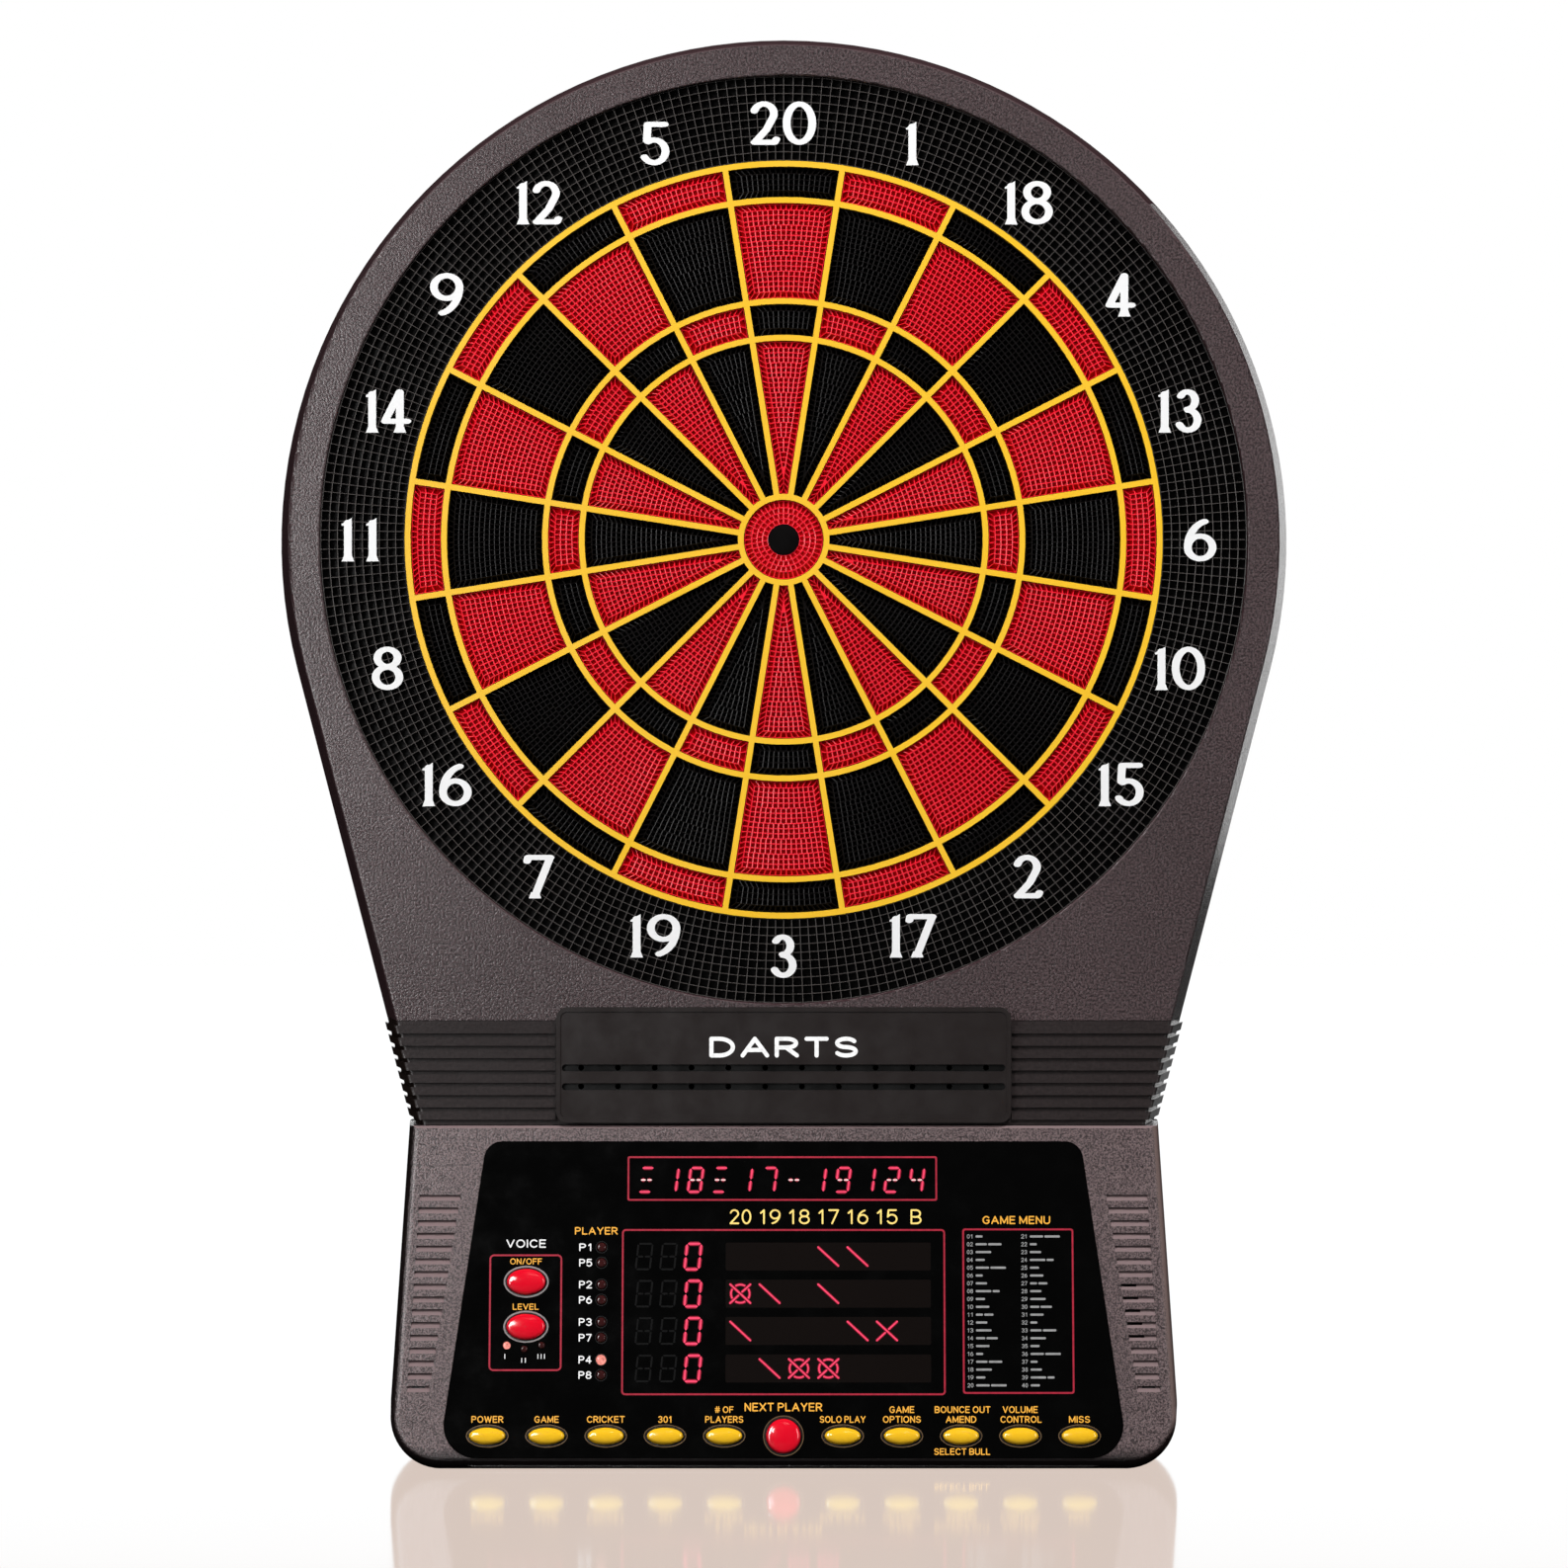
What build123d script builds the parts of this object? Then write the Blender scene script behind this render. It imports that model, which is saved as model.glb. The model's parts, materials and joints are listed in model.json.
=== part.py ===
from build123d import *
import math
import os

# Electronic soft-tip dartboard, modelled as its separate pieces.
#
# Frame: the origin is the bull axis at the wall plane. +X is to the player's right, +Z is up and -Y points
# out of the wall towards the player. "Depth" below is the distance from the wall, so depth = -Y.
# The console at the bottom has a tilted face with its own frame: u is to the right, v is up along the face
# (so v is negative on the face) and w points out of the face. Its origin is the middle of its top edge.
# All lengths are millimetres and all angles are degrees.

# ---- Casing ----------------------------------------------------------------------------------------------
WALL = 3.0  # thickness of the moulded shells
BODY_RADIUS = 264.8  # round part of the casing, at its widest, by the rear cover
TAPER_ANGLE = 14.5  # each straight side leans in by this much on its way down to the waist
BODY_DRAFT = 9.4  # the upper shells narrow towards the front
CONSOLE_DRAFT = 4.0  # and so does the console
PARTING_DEPTH = 16.0  # the front shells meet the rear cover here
SEAM = 0.3  # gap left at every seam between two shells
REAR_FLOOR = 2.5
REAR_EDGE_RADIUS = 2.0
LIP_FIT = 0.6  # between the rear cover's lip and the inside of the front shells
LIP_THICKNESS = 1.6
LIP_HEIGHT = 2.5
FRONT_DEPTH = 60.0  # flat front of the upper casing
FRONT_EDGE_RADIUS = 2.0
BAND_TOP_Z = -250.0
CREASE_Z = -304.0  # where the ribbed waist ends and the console starts
BASE_Z = -479.0
CONSOLE_TOP_HALF = 197.0  # half width of the console at the parting line, at its top edge
CONSOLE_BASE_HALF = 209.0  # and at its base, before the corners are rounded
CONSOLE_CORNER = 26.0
CONSOLE_TOP_DEPTH = 64.0
CONSOLE_TILT = 10.0
CONSOLE_EDGE_RADIUS = 5.0
CONSOLE_TOP_CHAMFER = 1.2
CONSOLE_LOFT_DEPTH = 110.0  # the sides are drawn to here, then cut by the tilted face
CABLE_WINDOW = (260.0, 30.0)  # opening in the console's top wall, wide and deep

# ---- Ribbed waist and dart rack --------------------------------------------------------------------------
RIB_COUNT = 8
RIB_PITCH = 6.4
RIB_HEIGHT = 4.2
RIB_PROUD = 1.8
RIB_MARGIN = 1.2  # plain strip above the first rib
RACK_WIDTH = 236.0
RACK_TOP_Z = -242.8
RACK_BOTTOM_Z = -302.6
RACK_THICKNESS = 6.0
RACK_CORNER = 6.0
RACK_FRAME = 2.2  # width of the raised rim around the rack plate
RACK_FRAME_STEP = 0.7
RACK_SLOT_Z = (-274.2, -283.9)
RACK_SLOT = (230.0, 3.6)
RACK_SLOT_DEPTH = 2.0
RACK_HOLES = 12  # dart points held in each slot
RACK_HOLE_PITCH = 19.1
RACK_HOLE_RADIUS = 1.5

RACK_PILOT_DEPTH = 4.2

# ---- Target ----------------------------------------------------------------------------------------------
RING_OPENING = 241.0  # radius of the hole in the casing that shows the target
OPENING_EDGE_RADIUS = 1.0
CATCH_RING_OUTER = 245.0
CATCH_RING_INNER = 197.4
CATCH_RING_FRONT = 56.6
CATCH_RING_BACK = 46.0
RING_PILOT_DEPTH = 4.0
EAR_RADIUS = 5.5
EAR_THICKNESS = 3.0
WEB = 3.0  # width of every divider of the spider
WEB_RADII = (22.3, 105.0, 124.1, 176.6, 195.5)  # middles of its five rings
SPIDER_FRONT = 57.4
SPIDER_BACK = 48.0
SECTORS = 20
SECTOR_ANGLE = 360.0 / SECTORS
SEGMENT_GAP = 0.45  # between a segment and the divider beside it
SEGMENT_FRONT = 56.2
SEGMENT_BACK = 44.5
FLANGE_FRONT = 47.5  # the lip that keeps a segment behind the spider
FLANGE_LAP = 0.8  # how far that lip reaches under the dividers
BULL_RADIUS = 7.8
BULL_FLANGE_RADIUS = 9.5
BULL_FLANGE_FRONT = 46.3
BULL_RECESS_RADIUS = 10.5
BULL_RECESS_FRONT = 47.6
MAT_RADIUS = 205.0
MAT_FRONT = 43.3
MAT_BACK = 41.3
MEMBRANE_FRONT = 41.2
MEMBRANE_BACK = 40.7
BACKPLATE_RADIUS = 222.0
BACKPLATE_FRONT = 40.5
BACKPLATE_BACK = 35.5
BACKPLATE_RIB = (147.0, 150.0)  # inner and outer radius of the round rib on its back
BACKPLATE_SPOKE = (202.0, 3.0)  # reach from the middle, and width, of its straight ribs
BACKPLATE_RIB_HEIGHT = 4.0
BACKPLATE_SPOKES = 8
TARGET_BOSS_CIRCLE = 212.0
TARGET_BOSSES = 10
NUMBER_CIRCLE = 216.5
NUMBER_HEIGHT = 21.6
NUMBER_PITCH = 16.0
NUMBER_STROKE = 3.2
NUMBER_THICKNESS = 0.7
NUMBERS = (20, 1, 18, 4, 13, 6, 10, 15, 2, 17, 3, 19, 7, 16, 8, 11, 14, 9, 12, 5)

# ---- Console face, in its own (u, v, w) frame ------------------------------------------------------------
LENS_TOP_V = -8.3
LENS_BASE_V = -172.0
LENS_TOP_HALF = 154.0
LENS_BASE_HALF = 177.4
LENS_TOP_CORNER = 9.5
LENS_BASE_CORNER = 17.0
LENS_GAP = 0.25
LENS_W = (-2.3, -0.4)
POCKET_W = -2.4
PLATE_BACK_W = -4.4  # back of the moulded plate that carries the window and the button wells
PLATE_MARGIN = 4.0
WINDOW_U = (-108.0, 84.0)
WINDOW_V = (-142.0, -13.0)
LOUVRES = 16
LOUVRE_TOP_V = -37.7
LOUVRE_PITCH = 6.58
LOUVRE_HEIGHT = 3.1
LOUVRE_DEPTH = 2.2
LOUVRE_OUTER = (188.4, 193.8)  # outer end of the first and the last louvre
LOUVRE_INNER = (167.2, 182.0)  # inner end of the first and the last louvre
SOUND_LOUVRES = range(7, 12)  # louvres of the right side that are open to the speaker
SOUND_SLOT = (8.0, 1.4)

BUTTON_ROW_V = -160.4
BUTTON_PITCH = 30.44
KEY = (9.15, 4.15)  # half width and half height of a yellow key
VOICE_KEY = (9.9, 6.5)
ROUND_KEY = (8.7, 8.7)
BUTTON_TRAVEL = 1.2
BUTTON_SHOULDER_W = 0.9
BUTTON_DOME = 2.3
BUTTON_STEP = 0.15
COLLAR_GAP = 0.4
COLLAR_WALL = 0.7
COLLAR_FRONT_W = -0.6
COLLAR_FIT = 0.15
FLANGE_W = (-5.9, -4.6)
FLANGE_MARGIN = 1.9
STEM_RADIUS = 1.8
STEM_W = -8.4
DOME_FRONT_W = STEM_W - BUTTON_TRAVEL - 0.15
DOME_RADIUS = 4.2
DOME_WALL = 1.0
DOME_TOP = 0.8
KEYPAD_W = (-12.4, -11.4)
KEYPAD_BOARD_W = (-14.1, -12.5)
KEYPAD_HEIGHT = 17.0
BUTTONS = {
    "power_button": (-5 * BUTTON_PITCH, BUTTON_ROW_V, KEY),
    "game_button": (-4 * BUTTON_PITCH, BUTTON_ROW_V, KEY),
    "cricket_button": (-3 * BUTTON_PITCH, BUTTON_ROW_V, KEY),
    "countdown_button": (-2 * BUTTON_PITCH, BUTTON_ROW_V, KEY),
    "players_button": (-1 * BUTTON_PITCH, BUTTON_ROW_V, KEY),
    "next_player_button": (0.0, BUTTON_ROW_V, ROUND_KEY),
    "solo_button": (1 * BUTTON_PITCH, BUTTON_ROW_V, KEY),
    "options_button": (2 * BUTTON_PITCH, BUTTON_ROW_V, KEY),
    "bounce_out_button": (3 * BUTTON_PITCH, BUTTON_ROW_V, KEY),
    "volume_button": (4 * BUTTON_PITCH, BUTTON_ROW_V, KEY),
    "miss_button": (5 * BUTTON_PITCH, BUTTON_ROW_V, KEY),
    "voice_switch_button": (-132.8, -81.1, VOICE_KEY),
    "voice_level_button": (-132.8, -104.3, VOICE_KEY),
}

# ---- Electronics -----------------------------------------------------------------------------------------
DISPLAY_BOARD_W = (-11.9, -10.3)
DISPLAY_BOARD_U = (-114.0, 90.0)
DISPLAY_BOARD_V = (-148.0, -7.5)
MODULE_W = (-10.2, -2.7)
MARQUEE_CHARACTERS = 12
MARQUEE_PITCH = 12.72
MARQUEE_START_U = -70.5
MARQUEE_V = -28.8
MARQUEE_MODULE = (12.4, 19.0)
ROWS_V = (-68.1, -87.3, -106.5, -125.8)
SCORES_U = (-72.0, -59.4, -46.8)
SCORE_MODULE = (12.4, 18.8)
MARKS_PER_ROW = 7
MARK_START_U = -22.3
MARK_PITCH = 15.13
MARK_MODULE = (14.8, 15.4)
PLAYER_LED_U = -94.0
PLAYER_LEDS_V = (-63.3, -71.3, -82.6, -90.5, -101.9, -110.0, -121.3, -129.2)
PLAYER_LED_RADIUS = 2.5
LEVEL_LEDS = ((-142.6, -113.9), (-133.6, -115.8), (-124.7, -113.9))
LEVEL_LED_RADIUS = 1.8
LED_FIT = 0.2
LED_FRONT_W = 0.3  # the tips stand just proud of the window
LED_TIP_ROUND = 0.6  # share of the radius that is rounded off
VOICE_BOARD_U = (-150.0, -117.5)
VOICE_BOARD_V = (-125.0, -68.0)
POST_RADIUS = 2.4
PILOT_RADIUS = 1.1
DISPLAY_POSTS = ((-111.2, -10.0), (87.2, -10.0), (-111.2, -145.2), (87.2, -145.2))
KEYPAD_POSTS = [(n * BUTTON_PITCH, BUTTON_ROW_V) for n in (-4.5, -1.5, 1.5, 4.5)]
VOICE_POSTS = ((-147.2, -92.7), (-120.4, -92.7))
SMALL_SCREW_RADIUS = 1.05
SMALL_HEAD_RADIUS = 2.1
SMALL_HEAD_HEIGHT = 1.3
SPEAKER_UV = (163.5, -96.0)
SPEAKER_RADIUS = 18.0
SPEAKER_W = (-22.0, -4.8)
MAGNET_RADIUS = 10.5
SPEAKER_FRAME = 3.0  # thickness of its front ring
SPEAKER_RECESS = (15.5, 1.2)  # radius and depth of the hollow in front of the cone
CLAMP_W = (-11.0, -9.0)
CLAMP_BAR = 9.0
CLAMP_RING_WIDTH = 3.5
CLAMP_POSTS_V = (-73.5, -118.5)
CONTROL_BOARD = (150.0, 88.0)
CONTROL_BOARD_Z = -392.0
CONTROL_BOARD_DEPTH = (9.0, 10.6)
CONTROL_POSTS_X = (-70.0, 70.0)
CONTROL_POST_INSET = 5.0  # from the board's top and bottom edges
CHIP = (26.0, 3.0)  # side and height of the square chip
RIBBON_SOCKET = (28.0, 5.0, 7.0)  # width, length and height
RIBBON_SOCKET_INSET = 9.0
CAPACITOR = (4.0, 10.0)  # radius and height
CAPACITORS = ((-52.0, 0.0), (-52.0, -14.0))  # from the middle of the board
PLUG_SOCKET = (14.0, 5.0, 6.0)
PLUG_SOCKETS = ((-30.0, -36.0), (30.0, -36.0), (60.0, -10.0))
RIBBONS_X = (-34.0, 34.0)
RIBBON_WIDTH = 24.0
RIBBON_THICKNESS = 0.5
RIBBON_STAND = 8.0  # how far in front of the control board the ribbons come down
RIBBON_TUCK = 10.0  # they leave the contact sheet this far inside its edge
RIBBON_CLEARANCE = 12.0  # and clear the backplate by this much
CABLE_THICKNESS = 1.0
CABLE_START = 0.6  # gap to the board where a cable starts
CABLE_STAND = 12.0
CABLE_BEND = 10.0
DISPLAY_CABLE = (-20.0, 26.0)  # x and width
DISPLAY_CABLE_START = 22.0  # above the middle of the control board
DISPLAY_PLUG_V = -40.0
KEYPAD_CABLE = (16.0, 16.0)
KEYPAD_CABLE_START = -20.0
JACK_X = 120.0
JACK_DEPTH = 8.2
JACK_HOLE_RADIUS = 5.6
JACK_BODY = (14.0, 10.0, 11.0)
JACK_BARREL_RADIUS = 3.2
JACK_PIN_RADIUS = 1.0
CRADLE_WALL = 2.0

# ---- Fixings ---------------------------------------------------------------------------------------------
KEYHOLE_X = 203.2  # the two hangers are 406.4 mm apart
KEYHOLE_Z = 62.0
KEYHOLE_ENTRY_RADIUS = 5.0
KEYHOLE_SLOT_RADIUS = 2.5
KEYHOLE_SLOT_LENGTH = 10.0
BOSS_RADIUS = 4.2
SCREW_RADIUS = 1.5
SCREW_FIT = 0.08
SCREW_HEAD_RADIUS = 3.0
SCREW_HEAD_HEIGHT = 1.8
HEAD_SEAT_DEPTH = 12.0  # the screw heads sit at the bottom of wells in the rear cover
WELL_RADIUS = 3.5
CASE_SCREW_LENGTH = 18.0
BACKPLATE_SCREW_LENGTH = 12.0
RING_SCREW_LENGTH = 8.0
RACK_SCREW_LENGTH = 6.5
BOARD_SCREW_LENGTH = 6.0
CASE_BOSS_CIRCLE = 251.0
CASE_BOSS_ANGLES = (90, 57, 24, -9, 123, 156, 189)
BAND_BOSSES = ((168.0, -292.0), (-168.0, -292.0))
LOW_BOSSES = ((150.0, -244.0), (-150.0, -244.0))
CONSOLE_BOSSES = ((-184.0, -322.0), (184.0, -322.0), (-188.0, -440.0), (188.0, -440.0))
RING_SCREW_CIRCLE = 249.0
RING_SCREW_ANGLES = (75, 40, 5, 105, 140, 175, 236, 304)
RING_BOSS_RADIUS = 3.4
RACK_SCREWS_X = (-104.0, 104.0)
RACK_SCREW_Z = -293.0

TILT = math.radians(CONSOLE_TILT)
FACE = Plane(
    origin=(0, -CONSOLE_TOP_DEPTH, CREASE_Z),
    x_dir=(1, 0, 0),
    z_dir=(0, -math.cos(TILT), math.sin(TILT)),
)


# ---- Helpers ---------------------------------------------------------------------------------------------
def at_depth(depth):
    """Sketch plane parallel to the wall, facing the player, this far from the wall."""
    return Plane.XZ.offset(depth)


def at_w(w):
    """Sketch plane parallel to the console face."""
    return FACE.offset(w)


def slab(sketch, back, front, plane=at_depth):
    """A sketch extruded between two depths, or between two w values on the console."""
    return extrude(plane(back) * sketch, front - back)


def polar(radius, angle):
    """A point on a circle round the bull; 0 degrees is to the right, 90 is up."""
    return (radius * math.cos(math.radians(angle)), radius * math.sin(math.radians(angle)))


def shifted(sketch, points):
    """Copies of a sketch at several points, as one sketch."""
    return Sketch() + [Pos(x, y) * sketch for x, y in points]


def rectangle(u_range, v_range):
    """A rectangle between two pairs of limits."""
    width, height = u_range[1] - u_range[0], v_range[1] - v_range[0]
    return Pos(sum(u_range) / 2, sum(v_range) / 2) * Rectangle(width, height)


def between_heights(z_low, z_high):
    """A block wider than the casing between two heights, for cutting a shape into stretches."""
    return slab(rectangle((-400, 400), (z_low, z_high)), -50, 200)


def group(solids):
    """Several separate solids kept as one node."""
    return Compound(children=list(solids))


def screw(x, z, seat, length):
    """A pan-head screw driven towards the player; its head rests on the seat from behind."""
    under_head = seat - SCREW_FIT
    head = slab(Pos(x, z) * Circle(SCREW_HEAD_RADIUS), under_head - SCREW_HEAD_HEIGHT, under_head)
    return head + slab(Pos(x, z) * Circle(SCREW_RADIUS), under_head, seat + length)


def small_screw(u, v, seat):
    """The same for a circuit board fixed behind the console face."""
    under_head = seat - SCREW_FIT
    head = slab(Pos(u, v) * Circle(SMALL_HEAD_RADIUS), under_head - SMALL_HEAD_HEIGHT, under_head, at_w)
    return head + slab(Pos(u, v) * Circle(SMALL_SCREW_RADIUS), under_head, seat + BOARD_SCREW_LENGTH, at_w)


# ---- Outlines --------------------------------------------------------------------------------------------
def body_outline(radius, z_low):
    """The upper casing seen from the front: a circle that runs into two straight sides."""
    lean = math.radians(TAPER_ANGLE)
    side_x = (radius + z_low * math.sin(lean)) / math.cos(lean)
    right, left = polar(radius, -TAPER_ANGLE), polar(radius, 180 + TAPER_ANGLE)
    edges = Line((-side_x, z_low), (side_x, z_low))
    edges += Line((side_x, z_low), right)
    edges += ThreePointArc(right, (0, radius), left)
    edges += Line(left, (-side_x, z_low))
    return make_face(edges)


def console_outline(side_inset, wall_inset):
    """The console seen from the front: side_inset is the draft, wall_inset moves every side in."""
    top = CONSOLE_TOP_HALF - side_inset - wall_inset
    base = CONSOLE_BASE_HALF - side_inset - wall_inset
    top_z, base_z = CREASE_Z - SEAM - wall_inset, BASE_Z + wall_inset
    shape = Polygon((-top, top_z), (-base, base_z), (base, base_z), (top, top_z), align=None)
    return fillet(shape.vertices().group_by(Axis.Y)[0], CONSOLE_CORNER - wall_inset)


def lens_outline(inset):
    """The black console window seen square on, with its corners rounded."""
    top, base = LENS_TOP_HALF - inset, LENS_BASE_HALF - inset
    top_v, base_v = LENS_TOP_V - inset, LENS_BASE_V + inset
    shape = Polygon((-top, top_v), (-base, base_v), (base, base_v), (top, top_v), align=None)
    shape = fillet(shape.vertices().group_by(Axis.Y)[0], LENS_BASE_CORNER - inset)
    return fillet(shape.vertices().group_by(Axis.Y)[-1], LENS_TOP_CORNER - inset)


def draft(depth, angle):
    """How far a drafted side has moved in at this depth."""
    return (depth - PARTING_DEPTH) * math.tan(math.radians(angle))


def body_block(inset, back, front):
    """The drafted upper casing as a solid block, its sides moved in by inset."""
    low = CREASE_Z - 2 * WALL
    rear = body_outline(BODY_RADIUS - inset - draft(back, BODY_DRAFT), low)
    fore = body_outline(BODY_RADIUS - inset - draft(front, BODY_DRAFT), low)
    return loft([at_depth(back) * rear, at_depth(front) * fore], ruled=True)


def console_block(inset, face_w, back=PARTING_DEPTH):
    """The drafted console as a solid block cut by its tilted face."""
    rear = console_outline(draft(back, CONSOLE_DRAFT), inset)
    fore = console_outline(draft(CONSOLE_LOFT_DEPTH, CONSOLE_DRAFT), inset)
    block = loft([at_depth(back) * rear, at_depth(CONSOLE_LOFT_DEPTH) * fore], ruled=True)
    return block - extrude(at_w(face_w) * Rectangle(900, 900), 200)


def sector(r_in, r_out, offset):
    """One sector of the target, its straight sides set back by offset from the middle of the dividers."""
    inner = SECTOR_ANGLE / 2 - math.degrees(math.asin(offset / r_in))
    outer = SECTOR_ANGLE / 2 - math.degrees(math.asin(offset / r_out))
    edges = ThreePointArc(polar(r_in, 90 + inner), (0, r_in), polar(r_in, 90 - inner))
    edges += Line(polar(r_in, 90 - inner), polar(r_out, 90 - outer))
    edges += ThreePointArc(polar(r_out, 90 - outer), (0, r_out), polar(r_out, 90 + outer))
    edges += Line(polar(r_out, 90 + outer), polar(r_in, 90 + inner))
    return make_face(edges)


def key_outline(half_size, grow=0.0):
    """The oval or round outline of a button, grown all round."""
    return Ellipse(half_size[0] + grow, half_size[1] + grow)


# ---- Casing ----------------------------------------------------------------------------------------------
def case_boss_points():
    return [polar(CASE_BOSS_CIRCLE, angle) for angle in CASE_BOSS_ANGLES]


def ring_screw_points():
    return [polar(RING_SCREW_CIRCLE, angle) for angle in RING_SCREW_ANGLES]


def target_boss_points():
    return [polar(TARGET_BOSS_CIRCLE, 90 + 360 / TARGET_BOSSES * i) for i in range(TARGET_BOSSES)]


def bosses(points, back, front, radius=BOSS_RADIUS):
    """Hollow screw bosses standing on the inside of a shell."""
    ring = Circle(radius) - Circle(SCREW_RADIUS + SCREW_FIT)
    return slab(shifted(ring, points), back, front)


def upper_shell(radius_grow=0.0):
    """The hollow drafted shell that the front housing and the waist band are both cut from."""
    outer = body_block(-radius_grow, PARTING_DEPTH, FRONT_DEPTH + radius_grow)
    outer = fillet(outer.faces().sort_by(Axis.Y)[0].edges(), FRONT_EDGE_RADIUS)
    return outer - body_block(WALL, PARTING_DEPTH - 1, FRONT_DEPTH - WALL)


def front_housing():
    shell = upper_shell() - slab(Circle(RING_OPENING), FRONT_DEPTH - 2 * WALL, FRONT_DEPTH + 1)
    rim = shell.edges().filter_by(GeomType.CIRCLE)
    rim = rim.filter_by(lambda edge: abs(edge.radius - RING_OPENING) < SEAM).sort_by(Axis.Y)[0]
    shell = fillet(rim, OPENING_EDGE_RADIUS)
    shell &= between_heights(BAND_TOP_Z + SEAM, BODY_RADIUS + 10)
    ceiling = FRONT_DEPTH - WALL / 2
    shell += bosses(case_boss_points(), PARTING_DEPTH + SEAM, ceiling)
    shell += bosses(LOW_BOSSES, PARTING_DEPTH + SEAM, ceiling)
    over_ears = CATCH_RING_BACK + EAR_THICKNESS + SEAM
    return shell + bosses(ring_screw_points(), over_ears, ceiling, RING_BOSS_RADIUS)


def waist_band():
    shell = upper_shell() & between_heights(CREASE_Z, BAND_TOP_Z)
    ribs = upper_shell(RIB_PROUD)
    for i in range(RIB_COUNT):
        middle = BAND_TOP_Z - RIB_MARGIN - RIB_PITCH * (i + 0.5)
        shell += ribs & between_heights(middle - RIB_HEIGHT / 2, middle + RIB_HEIGHT / 2)
    behind_rack = rectangle((-RACK_WIDTH / 2 - SEAM, RACK_WIDTH / 2 + SEAM), (CREASE_Z - 1, BAND_TOP_Z + 1))
    shell -= slab(behind_rack, FRONT_DEPTH, FRONT_DEPTH + RACK_THICKNESS)
    shell += bosses(BAND_BOSSES, PARTING_DEPTH + SEAM, FRONT_DEPTH - WALL / 2)
    holes = shifted(Circle(SCREW_RADIUS + SEAM), [(x, RACK_SCREW_Z) for x in RACK_SCREWS_X])
    holes += shifted(Circle(RACK_HOLE_RADIUS + SEAM), rack_hole_points())
    return shell - slab(holes, FRONT_DEPTH - 2 * WALL, FRONT_DEPTH + 1)


def louvre_ends(i):
    """Outer and inner end of louvre i, as distances from the middle of the face."""
    share = i / (LOUVRES - 1)
    outer = LOUVRE_OUTER[0] + share * (LOUVRE_OUTER[1] - LOUVRE_OUTER[0])
    inner = LOUVRE_INNER[0] + share * (LOUVRE_INNER[1] - LOUVRE_INNER[0])
    return outer, inner


def louvre(side, i):
    """A wedge-shaped pocket, deep at its top edge and running out at its bottom edge."""
    outer, inner = louvre_ends(i)
    v, half = LOUVRE_TOP_V - i * LOUVRE_PITCH, LOUVRE_HEIGHT / 2
    section = Polygon((half, 1), (-half, 1), (-half, 0), (half, -LOUVRE_DEPTH), align=None)
    start = min(side * outer, side * inner)
    across = Plane(origin=FACE.from_local_coords((start, v, 0)), x_dir=FACE.y_dir, z_dir=FACE.x_dir)
    return extrude(across * section, outer - inner)


def sound_slots():
    """The openings at the bottom of the louvres in front of the speaker."""
    slots = []
    for i in SOUND_LOUVRES:
        top_v = LOUVRE_TOP_V - i * LOUVRE_PITCH + LOUVRE_HEIGHT / 2
        inner = louvre_ends(i)[1]
        slots.append(rectangle((inner, inner + SOUND_SLOT[0]), (top_v - SOUND_SLOT[1], top_v)))
    return slab(Sketch() + slots, -2 * WALL, 0, at_w)


def console_shell():
    """The hollow console with its edges eased, before anything is cut in its face."""
    outer = console_block(0, 0)
    face = outer.faces().filter_by(FACE).sort_by(Axis.Y)[0]
    top_edge = face.edges().sort_by(Axis.Z)[-1]
    outer = chamfer(top_edge, CONSOLE_TOP_CHAMFER)
    face = outer.faces().filter_by(FACE).sort_by(Axis.Y)[0]
    outer = fillet(face.edges().sort_by(Axis.Z)[:-1], CONSOLE_EDGE_RADIUS)
    shell = outer - console_block(WALL, -WALL, PARTING_DEPTH - 1)
    half, middle = CABLE_WINDOW[0] / 2, (CONSOLE_TOP_DEPTH - WALL) / 2
    window = rectangle((-half, half), (CREASE_Z - 2 * WALL, CREASE_Z))
    return shell - slab(window, middle - CABLE_WINDOW[1] / 2, middle + CABLE_WINDOW[1] / 2)


def button_wells(grow, back, front):
    """The outlines of all the buttons, grown, as blocks between two w values."""
    outlines = [Pos(u, v) * key_outline(size, grow) for u, v, size in BUTTONS.values()]
    return slab(Sketch() + outlines, back, front, at_w)


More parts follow.
